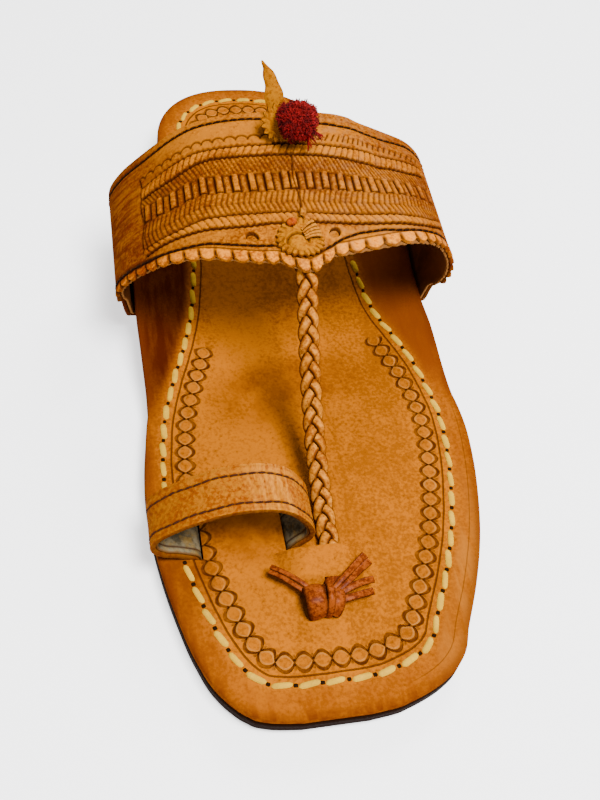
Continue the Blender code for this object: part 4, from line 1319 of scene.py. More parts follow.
def scallop(girth, pitch):
    """Outline of the scalloped edge, from 0 in a notch to 1 at the tip of a lobe."""
    return np.abs(np.sin(np.pi * girth / pitch)) ** 0.8


def slab_rows(dense, top, bottom, rounding, under=11):
    """Rows round a strap's closed section: (share, depth), the outer face first."""
    rows = [(0.0, top + rounding * 0.9), (rounding * 5, top + rounding * 0.25)]
    rows += [(0.012 + (1 - 0.024) * k / dense, top) for k in range(dense + 1)]
    rows += [(1 - rounding * 5, top + rounding * 0.25), (1.0, top + rounding * 0.9)]
    rows += [(1.0, bottom - rounding * 0.6)]
    rows += [(share, bottom) for share in np.linspace(0.985, 0.015, under)]
    rows += [(0.0, bottom - rounding * 0.6)]
    return np.array(rows)


class BandSettings(bpy.types.PropertyGroup):
    """Instep band."""

    skin: length_prop("Skin", "Thickness of the tooled outer leather", 0.0016)
    columns: count_prop("Columns", "Steps round the tooled leather", 490, min=40)
    rows: count_prop("Rows", "Steps from its front edge to its rear edge", 166, min=20)
    stitch: length_prop("Stitch", "Length of a dark stitch", 0.0024)
    light: colour_prop("Tan", "Light tone of the tooled leather", (0.640, 0.200, 0.0030))
    dark: colour_prop("Brown", "Dark tone of the tooled leather", (0.215, 0.043, 0.0004))
    deep: colour_prop("Ink", "Colour in the tooled lines", (0.022, 0.0045, 0.0015))
    lining: colour_prop("Lining", "Colour of the lining", (0.085, 0.024, 0.0060))


def sew(name, runs, thread_material):
    """Dark stitching along runs of (path, facing, seed), as one piece."""
    length = bpy.context.scene.sandal_band.stitch
    threads = [stitches(f"{name}_{k}", path, facing, length, 0.0003, 0.00072, 0.00055,
                        seed=seed, tilt=0.10) for k, (path, facing, seed) in enumerate(runs)]
    thread = merged(name, threads)
    smooth(thread)
    dress(thread, thread_material)


def strap_piece(name, points):
    """A strap from points by column and row, the rows running round its section.

    Returns the piece and the column and row of each vertex.
    """
    columns, rows = points.shape[:2]

    def cell(u, v):
        return nearest(u, columns - 1), nearest(v, rows) % rows

    piece, u, v = sheet(name, columns - 1, rows, lambda u, v: points[cell(u, v)])
    return piece, *cell(u, v)


def tooled_colours(bare, colour):
    """The band's tooled leather turns reddish brown down its sides, under painted highlights on the
    crown and the raised tooling and painted shade in its sunken lines.
    """
    band = bpy.context.scene.sandal_band
    map_ = bare.map()
    side = abs(map_.part("X"))
    streaks = map_.stretched(0.35, 1.6, 1.0).noise(0.004, 5.0, 0.65).step(0.36, 0.66)
    # Painted highlights in patches over the lateral half of the crown.
    painted_crown_highlight = map_.part("X").step(-0.020, 0.020) * (1 - side.step(0.050, 0.075))
    patchy = map_.noise(0.0028, 4.0, 0.65).step(0.42, 0.66)
    colour = (painted_crown_highlight * patchy * 0.60).mix(colour, (0.52, 0.215, 0.060))
    down = side.step(0.024, 0.060) * (0.45 + streaks * 0.55)
    medial = 1 - map_.part("X").step(-0.060, -0.040)
    grain = bare.place().noise(0.0016, 4.0, 0.7).step(0.40, 0.62) * 0.60
    wear_and_painted_light = grain.mix((0.170, 0.0185, 0.0), (0.052, 0.0052, 0.0))
    colour = (down * (0.80 + medial * 0.16)).mix(colour, wear_and_painted_light)
    colour = (side.step(0.060, 0.085) * 0.55).mix(colour, tone(band.deep, 2.2))
    # Painted shade in the sunken tooling and painted highlights on its raised parts.
    relief = bare.held("relief")
    colour = ((1 - relief.step(0.22, 0.50)) * 0.55).mix(colour, tone(band.dark, 0.45))
    return (relief.step(0.54, 0.95) * 0.22).mix(colour, tone(band.light, 1.2))


class SANDAL_OT_band(bpy.types.Operator):
    """Build the tooled instep band with its scalloped edge, lining and dark stitching"""

    bl_idname = "sandal.band"
    bl_label = "Instep band"

    def execute(self, context):
        band = context.scene.sandal_band
        self.skin(band)
        self.lining(band)
        self.stitching()
        return {"FINISHED"}

    def skin(self, band):
        table = slab_rows(band.rows, 0.0, band.skin, 0.0004)
        points, girths = band_shell(band.columns, table, 14)
        girth = np.clip(girths, -HALF_GIRTH[-1], HALF_GIRTH[1])
        grid_g = np.repeat(girth[:, None], len(table), axis=1)
        grid_t = np.repeat(table[None, :, 0], len(girth), axis=0)
        normal = band_normal(grid_g, grid_t)
        deep = band_deep(grid_g) * 1000
        relief, ink = tooling(grid_g * 1000, grid_t, deep)
        face = (table[:, 1] < FACE_DEPTH)[None, :] * np.ones_like(grid_g)
        on_band = smoothstep((np.abs(grid_g) < 0.080) * 1.0)
        pitch = HALF_GIRTH[1] / SCALLOP_COUNT
        lobe = scallop(grid_g, pitch)
        front = np.maximum(0, 1 - grid_t * deep / 3.2)
        points[..., 1] -= SCALLOP_DEPTH * (lobe - 0.25) * smoothstep(front) * on_band
        puff = 0.45 * np.sqrt(np.maximum(0, front * (1.2 - front))) * (lobe - 0.5) * on_band
        notch = repeat(grid_g / pitch, 0.090) * smoothstep(front * 1.5)
        under = groove((1 - front) * 3.2 - 2.9, 0.35)
        relief = relief + puff - 0.45 * notch - 0.22 * under
        # Painted shade on the scallop lobes, darker towards the notches between them.
        between = 0.40 * (1 - lobe) * smoothstep(front * 2.5)
        ink = np.maximum.reduce((ink, notch, 0.90 * under, between))
        points += normal * (relief * face * on_band / 1000)[..., None]
        piece, i, j = strap_piece("band_skin", points)
        rim = (table[:, 1] > FACE_DEPTH)[j] * 0.55
        store(piece, "ink", np.maximum(ink[i, j] * face[i, j], rim))
        store(piece, "relief", np.clip(0.5 + relief[i, j] * face[i, j], 0, 1))
        store_map(piece, girths[i], table[j, 0] * BAND_DEPTH)
        weld(piece, FINE_WELD, fill=True)
        smooth(piece, 70)
        finish_ = leather("tooled_leather", (band.light, band.dark, band.deep), lump=0.014,
                          streak=(0.30, 1.0, 1.0), rough=0.40, flecks=0.40, specks=0.45,
                          ink=ink_and_shade_of, extra=tooled_colours)
        dress(piece, finish_, ("upper",))

    def lining(self, band):
        """The lining inside the band, whose own small scallops show past the front edge."""
        table = slab_rows(24, band.skin + 0.0001, BAND_WALL, 0.0003)
        points, girths = band_shell(500, table, 10)
        grid_g = np.repeat(girths[:, None], len(table), axis=1)
        front = smoothstep(1 - table[:, 0] * 60 / 1.5)[None, :]
        reach = 0.00075 * smoothstep((grid_g - 0.006) / 0.008) + 0.0001
        lobe = scallop(grid_g, LINING_SCALLOP)
        points[..., 1] -= front * (reach + 0.0005 * (lobe - 0.4)) * (np.abs(grid_g) < 0.083)
        piece, i, j = strap_piece("band_lining", points)
        store(piece, "edge", smoothstep(1 - table[j, 0] * 60 / 1.2))
        store_map(piece, girths[i], table[j, 0] * BAND_DEPTH)
        weld(piece, FINE_WELD, fill=True)
        smooth(piece, 50)
        material, bare = finish("band_lining_suede")
        place = bare.place()
        nap = place.noise(0.0009, 4.0, 0.65)
        blotch = place.noise(0.009, 4.0, 0.6).step(0.35, 0.7)
        colour = blotch.mix(band.lining, tone(band.lining, 0.55))
        colour = (bare.held("edge") * 0.85).mix(colour, (0.21, 0.085, 0.020))
        feed(material, Base_Color=colour, Roughness=0.72 + nap * 0.2,
             Normal=(nap * 0.00012).bump(), Specular_IOR_Level=MATT)
        dress(piece, material)

    def stitching(self):
        """Dark thread along the front and the rear edge."""
        girth = np.linspace(-0.078, 0.078, 1600)
        beside_braid = (girth < -0.0085) | (girth > 0.0062)
        runs = []
        for name, seed, kept in (("front stitch", 5, beside_braid), ("rear stitch", 6, True)):
            line = np.asarray(TOOL_LINES[name])
            share = np.interp(girth * 1000, line[:, 0], line[:, 1])
            normal = band_normal(girth, share)
            path = band_at(girth, share) - normal * 0.00018
            for part in (girth < 0, girth >= 0):
                runs.append((path[part & kept], normal[part & kept], seed))
        sew("band_stitches", runs, thread_finish("dark_thread", (0.016, 0.005, 0.002)))


# Centre line of the braid: Y in shares of BRAID_END, height over the insole in FRONT_CROWN.
BRAID_ROUTE = [
    # y, height
    (0.120, 0.935),
    (0.165, 0.925),
    (0.205, 0.900),
    (0.262, 0.775),
    (0.372, 0.565),
    (0.486, 0.382),
    (0.607, 0.230),
    (0.745, 0.108),
    (0.860, 0.052),
    (0.925, 0.034),
    (1.000, 0.030),
]
# Section of the toe loop: across in shares of LOOP_HALF, height in shares of LOOP_HEIGHT.
LOOP_LINES = [
    # across, height
    (-0.640, 0.060),
    (-0.830, 0.110),
    (-0.965, 0.230),
    (-1.000, 0.375),
    (-0.945, 0.520),
    (-0.780, 0.660),
    (-0.590, 0.780),
    (-0.390, 0.875),
    (-0.180, 0.955),
    (0.040, 0.997),
    (0.260, 1.000),
    (0.480, 0.965),
    (0.670, 0.870),
    (0.830, 0.700),
    (0.950, 0.510),
    (1.000, 0.330),
    (0.950, 0.165),
    (0.840, 0.075),
]
# The toe loop's two seams, in millimetres across it from its front edge.
LOOP_SEAMS = (2.5, 11.6)
# Strips of the knot, in millimetres from its middle on the insole: points of each centre
# line, its width and its thickness.
KNOT_STRIPS = {
    "wrap": ([(-3.0, 3.9, 0.9), (-3.4, 2.9, 3.9), (-3.3, 0.4, 5.8), (-3.1, -2.4, 5.5),
              (-2.8, -4.2, 3.6), (-2.2, -4.5, 1.0)], 6.2, 2.1),
    "collar": ([(1.3, 3.9, 0.8), (1.5, 2.8, 4.3), (1.35, 0.2, 6.4), (1.1, -2.6, 5.8),
                (0.8, -4.3, 3.5), (0.5, -4.6, 1.0)], 2.3, 1.9),
    "cheek": ([(3.4, 2.6, 1.2), (3.9, 0.8, 3.6), (3.7, -1.6, 4.2), (2.9, -3.6, 3.2),
               (1.9, -4.6, 1.4)], 4.0, 2.4),
    "left tail": ([(-2.6, 1.4, 3.6), (-6.2, 4.5, 4.9), (-10.6, 8.0, 5.2), (-14.2, 10.6, 4.7)],
                  1.5, 0.9),
    "left tail edge": ([(-3.0, 0.2, 3.0), (-6.9, 3.2, 4.0), (-11.2, 6.9, 4.3),
                        (-14.7, 9.6, 3.9)], 1.5, 0.9),
    "leaf": ([(2.4, 1.6, 3.9), (6.4, 4.8, 5.1), (10.6, 8.4, 4.9), (14.2, 11.6, 4.0)], 2.5, 0.9),
    "leaf side": ([(3.2, 0.6, 3.5), (7.7, 3.6, 4.6), (12.0, 7.1, 4.4), (15.2, 9.7, 3.6)],
                  2.4, 0.9),
    "upper tail": ([(3.6, 0.2, 3.2), (7.8, 1.8, 4.0), (12.0, 3.2, 3.8), (15.3, 4.0, 3.1)],
                   2.2, 0.9),
    "lower tail": ([(3.4, -1.4, 2.6), (7.4, -0.9, 3.1), (11.2, -0.1, 2.8), (14.6, 0.7, 2.2)],
                   2.2, 0.9),
}


def edged_leather(name, colours, edge_share=0.95, coat=0.02, shine=0.03, **options):
    """Leather strip whose edges, which its vertices hold, are darker, as painted shade where strips
    meet.
    """
    return leather(name, colours, lump=0.006, coat=coat, shine=shine, specks=0.35,
                   ink=lambda bare: bare.held("edge").step(0.42, 0.96) * edge_share, **options)


class BraidSettings(bpy.types.PropertyGroup):
    """Braid, toe loop and knot."""

    period: length_prop("Plait period", "Length after which a strand is back at its side", 0.0168)
    strand: length_prop("Strand", "Width of one strand", 0.0037)
    light: colour_prop("Braid", "Light tone of the braid", (0.380, 0.130, 0.0060))
    dark: colour_prop("Braid shade", "Dark tone of the braid", (0.190, 0.045, 0.0010))
    knot_light: colour_prop("Knot", "Light tone of the knot", (0.200, 0.040, 0.0040))
    knot_dark: colour_prop("Knot shade", "Dark tone of the knot", (0.080, 0.012, 0.0015))
    deep: colour_prop("Shadow", "Colour in the gaps", (0.022, 0.0045, 0.0015))
    suede: colour_prop("Suede", "Colour of the toe loop's lining", (0.135, 0.105, 0.058))


class SANDAL_OT_braid(bpy.types.Operator):
    """Plait the three-strand strap from the band to the bridge"""

    bl_idname = "sandal.braid"
    bl_label = "Braid"

    def execute(self, context):
        braid = context.scene.sandal_braid
        rows = rows_at(BRAID_ROUTE, np.linspace(0, len(BRAID_ROUTE) - 1, 800))
        centre = np.column_stack((np.full(len(rows), BRAID_X), BRAID_END * rows[:, 0],
                                  INSOLE_TOP + FRONT_CROWN * rows[:, 1]))
        centre, run = resampled(centre, 0.00042)
        ahead = unit(np.gradient(centre, axis=0))
        up = -np.cross((1.0, 0.0, 0.0), ahead)
        up *= np.sign(up[:, 2:3])
        thin = 1 - 0.45 * smoothstep((centre[:, 1] / BRAID_END - 0.90) / 0.08)
        swing = (BRAID_WIDTH - braid.strand * 0.86) / 2
        strands = []
        for k in range(3):
            turn = 2 * np.pi * (run / braid.period + k / 3)
            wave = np.sin(turn)
            points = centre + up * (0.00098 * np.sin(2 * turn) * thin)[:, None]
            points[:, 0] += swing * wave
            lean = up.copy()
            lean[:, 0] += 0.55 * np.sign(wave) * np.abs(wave) ** 1.5
            widths = braid.strand * (1 - 0.12 * np.abs(wave))
            strands.append(strand(f"strand_{k}", points, lean, widths, 0.0019 * thin, 14, 0.85))
        piece = merged("braid_strands", strands)
        smooth(piece, 60)
        colours = (braid.light, braid.dark, braid.deep)
        dress(piece, edged_leather("braid_leather", colours, rough=0.40, extra=self.wear_and_painted_light))
        return {"FINISHED"}

    def wear_and_painted_light(self, bare, colour):
        """Painted highlights along the middle of each strand, and painted shade in darker red down
        its sides.
        """
        side = bare.held("edge")
        # Painted shade, darker red, down the sides of each strand.
        colour = (side.step(0.15, 0.75) * 0.60).mix(colour, (0.150, 0.028, 0.0005))
        patchy = bare.place().noise(0.0026, 5.0, 0.7).step(0.47, 0.62)
        # Painted highlight along the middle of each strand.
        painted_highlight = patchy * (1 - side.step(0.10, 0.55))
        return (painted_highlight * 0.60).mix(colour, (0.620, 0.245, 0.030))


def loop_path():
    """Outer line of the toe loop, X and height over the insole, from slit to slit."""
    inner = rows_at(LOOP_LINES, np.linspace(0.35, len(LOOP_LINES) - 1.35, 200))
    across = LOOP_X + LOOP_HALF * inner[:, 0]
    line = np.column_stack((across, LOOP_HEIGHT * inner[:, 1]))
    depth = GAP - INSOLE_THICKNESS
    half = LOOP_WALL / 2
    start = [(LEG_MEDIAL - half, depth), (LEG_MEDIAL - half, 0.3 * depth)]
    end = [(LEG_LATERAL + half, 0.3 * depth), (LEG_LATERAL + half, depth)]
    flat = np.vstack((start, line, end))
    three = np.column_stack((flat[:, 0], np.zeros(len(flat)), flat[:, 1]))
    even, run = resampled(three, 0.0004)
    return eased(even, 6)[:, [0, 2]], run


def loop_points(table):
    """Points of the toe loop by column and by row of (share across, depth)."""
    line, run = loop_path()
    ahead = unit(np.gradient(line, axis=0))
    normal = unit(eased(np.column_stack((-ahead[:, 1], ahead[:, 0])), 10))
    share, depth = table[:, 0], table[:, 1]
    flat = line[:, None, :] - normal[:, None, :] * depth[None, :, None]
    lean = LOOP_LEAN * np.clip(line[:, 1], 0, None)[:, None] / LOOP_HEIGHT * (1 - share)[None, :]
    y = LOOP_Y + LOOP_WIDTH * (share[None, :] - 0.5) + 0 * flat[..., 0]
    points = np.stack((flat[..., 0], y, INSOLE_TOP + flat[..., 1] - lean), axis=-1)
    facing = np.stack((normal[:, 0], 0 * normal[:, 0], normal[:, 1]), axis=-1)
    return points, facing, run


def loop_painted_light(bare, colour):
    """Painted light on the toe loop: a painted highlight in streaks beside its top, and painted
    shade on its medial side.
    """
    map_ = bare.map()
    x = map_.part("X")
    creases = map_.stretched(1.0, 0.12, 1.0).noise(0.0016, 4.0, 0.65).step(0.40, 0.62)
    # Painted shade on the medial side.
    dark = 1 - x.step(-0.030, -0.004)
    colour = (dark * 0.40).mix(colour, (0.110, 0.026, 0.0003))
    # Painted highlight in streaks beside the top.
    painted_highlight = x.step(-0.002, 0.005) * (1 - x.step(0.012, 0.020)) * creases
    return (painted_highlight * 0.42).mix(colour, (0.60, 0.235, 0.025))


class SANDAL_OT_toe_loop(bpy.types.Operator):
    """Build the toe loop with its tooling, suede lining and dark stitching"""

    bl_idname = "sandal.toe_loop"
    bl_label = "Toe loop"

    def execute(self, context):
        band, braid = context.scene.sandal_band, context.scene.sandal_braid
        skin = LOOP_WALL * 0.70
        table = slab_rows(44, 0.0, skin, 0.0003)
        points, facing, run = loop_points(table)
        deep = LOOP_WIDTH * 1000
        w = table[None, :, 0] * deep + 0 * points[..., 0]
        girth = run[:, None] * 1000 + 0 * w
        relief, ink = np.zeros_like(w), np.zeros_like(w)
        for place in LOOP_SEAMS:
            wander = 0.12 * np.sin(girth / 2.1 + place)
            line = groove(w - place - wander, 0.36)
            relief -= 0.26 * line
            ink = np.maximum(ink, 0.95 * line)
        inside = smoothstep((w - 3.2) / 0.5) * smoothstep((11.0 - w) / 0.5)
        chevron = repeat(girth / 1.9 + 0.35 * np.abs(w - 7.1), 0.20) * inside
        cross = repeat(girth / 1.9 - 0.35 * np.abs(w - 7.1), 0.16) * inside
        relief -= 0.10 * chevron + 0.06 * cross
        ink = np.maximum(ink, 0.16 * chevron + 0.10 * cross)
        edge_line = groove(w - 0.9, 0.3) + groove(w - deep + 0.8, 0.3)
        relief -= 0.08 * edge_line
        ink = np.maximum(ink, 0.22 * edge_line)
        face = (table[:, 1] < FACE_DEPTH)[None, :] * np.ones_like(w)
        points += facing[:, None, :] * (relief * face / 1000)[..., None]
        piece, i, j = strap_piece("toe_loop_skin", points)
        rim = (table[:, 1] > FACE_DEPTH)[j] * 0.5
        store(piece, "ink", np.maximum((ink * face)[i, j], rim))
        store_map(piece, run[i] - run[-1] * 0.55, table[j, 0] * LOOP_WIDTH)
        weld(piece, FINE_WELD, fill=True)
        smooth(piece, 70)
        colours = (tone(band.light, 0.46), tone(band.dark, 0.88), band.deep)
        finish_ = leather("loop_leather", colours, lump=0.006, rough=0.40, coat=0.02,
                          specks=0.45, flecks=0.30, ink=ink_and_shade_of, extra=loop_painted_light)
        dress(piece, finish_, ("toe_loop",))
        self.lining(braid, skin)
        self.stitching()
        return {"FINISHED"}

    def lining(self, braid, skin):
        table = slab_rows(8, skin + 0.00008, LOOP_WALL, 0.0003, 60)
        table[:, 0] = 0.035 + 0.93 * table[:, 0]
        points = loop_points(table)[0]
        w = table[:, 0] * LOOP_WIDTH * 1000
        piece, _, j = strap_piece("toe_loop_lining", points)
        seam = np.maximum(*(groove(w - place, 0.35) for place in LOOP_SEAMS)) * (
            table[:, 1] > LOOP_WALL * 0.9)
        store(piece, "ink", 0.9 * seam[j])
        store(piece, "edge", 1 - smoothstep((w / 1000 / LOOP_WIDTH - 0.035) / 0.05)[j])
        weld(piece, FINE_WELD, fill=True)
        smooth(piece, 60)
        material, bare = finish("grey_suede")
        place = bare.place()
        nap = place.noise(0.0008, 4.0, 0.7)
        blotch = place.noise(0.0035, 5.0, 0.7).step(0.36, 0.62)
        colour = blotch.mix(braid.suede, tone(braid.suede, 0.36))
        stained = place.noise(0.003, 3.0, 0.6).step(0.5, 0.7) * 0.6
        colour = stained.mix(colour, (0.180, 0.100, 0.020))
        colour = (bare.held("edge") * 0.9).mix(colour, (0.085, 0.030, 0.005))
        line = bare.held("ink")
        feed(material, Base_Color=line.mix(colour, braid.deep), Roughness=0.75 + nap * 0.2,
             Normal=(nap * 0.00022 - line * 0.0002).bump(), Specular_IOR_Level=MATT)
        dress(piece, material)

    def stitching(self):
        """Dark thread along both seams."""
        runs = []
        for seed, place in enumerate(LOOP_SEAMS, start=11):
            points, facing, run = loop_points(np.array([(place / (LOOP_WIDTH * 1000), 0.00012)]))
            path = points[:, 0]
            path[:, 1] += 0.00012 * np.sin(run * 1000 / 2.1 + place)
            keep = slice(14, len(path) - 10)
            runs.append((path[keep], facing[keep], seed))
        sew("toe_loop_stitches", runs, thread_finish("loop_thread", (0.040, 0.012, 0.006)))


class SANDAL_OT_knot(bpy.types.Operator):
    """Tie the knot in front of the bridge, with its strips and tails"""

    bl_idname = "sandal.knot"
    bl_label = "Knot"

    def execute(self, context):
        braid = context.scene.sandal_braid
        base = np.array((KNOT_X, KNOT_Y, INSOLE_TOP))
        pieces = [self.core(base)]
        for name, (points, width, thick) in KNOT_STRIPS.items():
            keys = np.asarray(points) / 1000
            line, _ = resampled(rows_at(keys, np.linspace(0, len(keys) - 1, 60)), 0.0004)
            tail = "tail" in name or "leaf" in name
            if tail:
                ups = (0.0, -0.25, 1.0)
                grow = np.linspace(0.62, 1.0, len(line)) if "leaf" in name else 1.0
                widths = width / 1000 * grow * np.ones(len(line))
            else:
                ups = line - np.array((line[:, 0].mean(), 0.0, 0.0012))
                widths = np.full(len(line), width / 1000)
            pieces.append(strand(name.replace(" ", "_"), base + line, ups, widths,
                                 thick / 1000, 16, 0.6 if tail else 0.75))
        stub = np.linspace((BRAID_X * 0.6 + KNOT_X * 0.4, KNOT_Y + 0.002, INSOLE_TOP + 0.0022),
                           (BRAID_X, BRIDGE_FRONT + 0.004, INSOLE_TOP + 0.0017), 12)
        pieces.append(strand("stub", stub, (0.0, 0.0, 1.0), BRAID_TOE_WIDTH * 0.9, 0.0026, 12,
                             0.7))
        piece = merged("knot_strips", pieces)
        smooth(piece, 60)
        colours = (braid.knot_light, braid.knot_dark, braid.deep)
        dress(piece, edged_leather("knot_leather_piece", colours, edge_share=0.7, rough=0.34,
                                   coat=0.04, shine=0.05), ("knot",))
        return {"FINISHED"}

    def core(self, base):
        """A rounded filler inside the knot, darkened all over as painted shade in the gaps between
        the strips.
        """
        core = added(bpy.ops.mesh.primitive_uv_sphere_add, segments=20, ring_count=14,
                     radius=0.5)
        size = np.array((KNOT_WIDTH * 0.80, KNOT_DEPTH * 0.86, KNOT_HEIGHT * 0.80))
        place_points(core, points_of(core) * size + base + (0.0, 0.0, size[2] * 0.5))
        store(core, "edge", np.full(len(core.data.vertices), 0.9))
        return core


def crown(x, y):
    """Height and slope along Y of the band's outer surface near its crown."""
    share = (y - BAND_FRONT) / BAND_DEPTH
    side = -1 if x < 0 else 1
    line = float(np.interp(abs(x), [0, abs(band_outer(1, side, share)[0])], [0, 1]))
    here, ahead = band_outer(line, side, share), band_outer(line, side, share + 0.02)
    return here[2], (ahead[2] - here[2]) / (ahead[1] - here[1])


def on_band(place, x, y, z, stand=0.0, lift=0.0):
    """Points on the axes of a disc that lies on the band at a place, or leans up by stand."""
    height, slope = crown(*place)
    tilt = math.atan(slope) + stand
    bend = 0.0 if stand else DISC_BEND
    return np.column_stack((place[0] + x,
                            place[1] + y * math.cos(tilt) - z * math.sin(tilt),
                            height + lift + y * math.sin(tilt) + z * math.cos(tilt)
                            - bend * x ** 2))


def on_disc(points):
    """Points in millimetres on the front rosette's face, in the sandal's frame."""
    x, y, z = (np.asarray(points, dtype=float) / 1000).T
    return on_band(FRONT_ROSETTE, x, y, z + ROSETTE_THICKNESS + DISC_SEAT)


class TrimSettings(bpy.types.PropertyGroup):
    """Rosettes, ear and pompom."""

    rear_teeth: count_prop("Rear teeth", "Number of teeth of the disc that stands", 17, min=5)
    teeth: count_prop("Teeth", "Teeth round a rosette", 22, min=6)
    stand: angle_prop("Stand", "How far the rear rosette leans up from the band", math.radians(46))
    tooth: length_prop("Tooth", "Depth of a rosette's tooth", 0.0008)
    light: colour_prop("Trim", "Light tone of the rosettes and the ear", (0.330, 0.112, 0.0005))
    dark: colour_prop("Trim shade", "Dark tone of the rosettes and the ear", (0.210, 0.058, 0.0002))
    deep: colour_prop("Trim shadow", "Colour in the rosettes' lines", (0.036, 0.0080, 0.0022))
    wool: colour_prop("Wool", "Colour of the wool", (0.205, 0.0025, 0.0034))
    yarns: count_prop("Yarns", "Yarn ends of the pompom", 2600, min=50)


class SANDAL_OT_trim(bpy.types.Operator):
    """Build the two toothed rosettes and the curled ear"""

    bl_idname = "sandal.trim"
    bl_label = "Rosettes and ear"

    def execute(self, context):
        trim = context.scene.sandal_trim
        material = leather("trim_leather_piece", (trim.light, trim.dark, trim.deep),
                           lump=0.005, rough=0.46, specks=0.3, ink=ink_and_shade_of)
        front = self.rosette("front_rosette_disc", FRONT_ROSETTE, FRONT_ROSETTE_RADIUS, trim,
                             0.0)
        dress(front, material, ("front_rosette",))
        self.curls(trim)
        behind = (REAR_ROSETTE[0] - 0.0013, REAR_ROSETTE[1] - 0.002)
        rear = self.rosette("rear_rosette_disc", behind, REAR_ROSETTE_RADIUS, trim, trim.stand)
        dress(rear, material, ("rear_rosette",))
        dress(self.ear(), material, ("ear",))
        return {"FINISHED"}

    def rosette(self, name, place, radius, trim, stand):
        """A disc with teeth; one that stands leans back, the other has a folded boss."""
        reach = [0.0, 0.25, 0.5, 0.75, 0.93, 0.985, 1.0, 0.985]
        level = [0.0, 0.0, 0.0, 0.0, 0.0, 0.08, 0.45, 0.85]
        top = np.linspace(0.955, 0.0, 36)
        reach = np.array(reach + list(top))
        level = np.array(level + [1.0] * len(top))
        teeth = trim.rear_teeth if stand else trim.teeth
        bite = trim.tooth * (trim.teeth / teeth) ** 2
        count = teeth * 12
        lift = DISC_SEAT + radius * math.sin(stand) * 0.9

        def shape(u, v):
            share, angle = reach[nearest(v, len(reach) - 1)], 2 * np.pi * u
            tooth = np.abs(((angle * teeth / (2 * np.pi)) % 1.0) * 2 - 1)
            rays = smoothstep((share - 0.45) / 0.2) * (
                0.6 * tooth + 0.25 * np.sin(angle * 31 + 3 * share) - 0.35)
            if stand:
                return share, angle, tooth, 0.07 * rays, 0.25 * groove(share - 0.72, 0.05)
            away = np.hypot(share * np.cos(angle) + 0.16, share * np.sin(angle) + 0.30)
            upper = smoothstep((share * np.sin(angle) + 0.42) / 0.2)
            fold = groove(away - 0.43, 0.050) * upper
            boss = 0.75 * smoothstep((0.44 - away) / 0.22)
            lip = 0.55 * groove(away - 0.53, 0.07) * upper
            return share, angle, tooth, 0.20 * rays + boss + lip - 0.55 * fold, 0.9 * fold

        def lay(u, v):
            share, angle, tooth, rise, _ = shape(u, v)
            row = nearest(v, len(reach) - 1)
            out = radius * share - bite * (1 - tooth) * share ** 6
            z = ROSETTE_THICKNESS * level[row] + np.where(row > 7, rise, 0.0) * 0.001
            return on_band(place, out * np.cos(angle), out * np.sin(angle), z, stand, lift)

        piece, u, v = sheet(name, count, len(reach) - 1, lay)
        share, angle, tooth, _, line = shape(u, v)
        row = nearest(v, len(reach) - 1)
        ink = np.maximum(line, 0.8 * (1 - tooth) ** 2 * smoothstep((share - 0.62) / 0.2))
        # The rim and underside are dark like a cut edge; the standing rear disc's are darker still,
        # as painted shadow behind it.
        store(piece, "ink", np.where(row > 7, ink, 0.9 if stand else 0.55))
        weld(piece, 4e-6)
        smooth(piece, 60)
        return piece

    def curls(self, trim):
        """The round knob, the fibrous tab and the small keeper on the front rosette."""
        up = (0.0, -0.3, 1.0)
        knob = on_disc([(-3.3, 4.3, 0.4), (-2.6, 4.9, 0.8), (-1.6, 5.0, 0.9), (-0.8, 4.6, 0.5)])
        line = rows_at(knob, np.linspace(0, 3, 24))
        round_ = np.sqrt(np.maximum(0.04, 1 - np.linspace(-1, 1, 24) ** 2))
        piece = strand("rosette_knob", line, up, 0.0031 * round_, 0.0018 * round_, 16)
        smooth(piece, 60)
        red = ((0.300, 0.052, 0.0010), (0.170, 0.020, 0.0008), trim.deep)
        dress(piece, edged_leather("knob_leather", red, edge_share=0.5, rough=0.4))
        pieces = []
        share = np.linspace(0, 1, 20)
        for k, (start, end) in enumerate((((0.6, 0.9), (5.4, 4.6)), ((0.9, 0.1), (6.0, 3.3)),
                                          ((1.0, -0.8), (6.4, 1.9)), ((1.0, -1.7), (6.5, 0.4)),
                                          ((0.3, 1.7), (4.5, 5.7)))):
            flat = np.array(start) + (np.array(end) - start) * share[:, None]
            rise = 0.55 + 0.5 * np.sin(np.pi * share) + 0.08 * k
            pieces.append(strand(f"rosette_ply_{k}", on_disc(np.column_stack((flat, rise))), up,
                                 0.0013 * (0.55 + 0.5 * share), 0.0007, 12, 0.8))
        keeper = on_disc([(1.9, 8.2, 0.2), (2.0, 8.9, 0.9), (2.2, 9.8, 1.0), (2.3, 10.7, 0.3)])
        line = rows_at(keeper, np.linspace(0, 3, 20))
        pieces.append(strand("keeper", line, up, 0.0022, 0.0010, 14, 0.9))
        tab = merged("rosette_tab", pieces)
        smooth(tab, 60)
        pale = ((0.360, 0.128, 0.008), (0.220, 0.062, 0.002), trim.deep)
        dress(tab, edged_leather("tab_leather", pale, edge_share=0.7, rough=0.5))

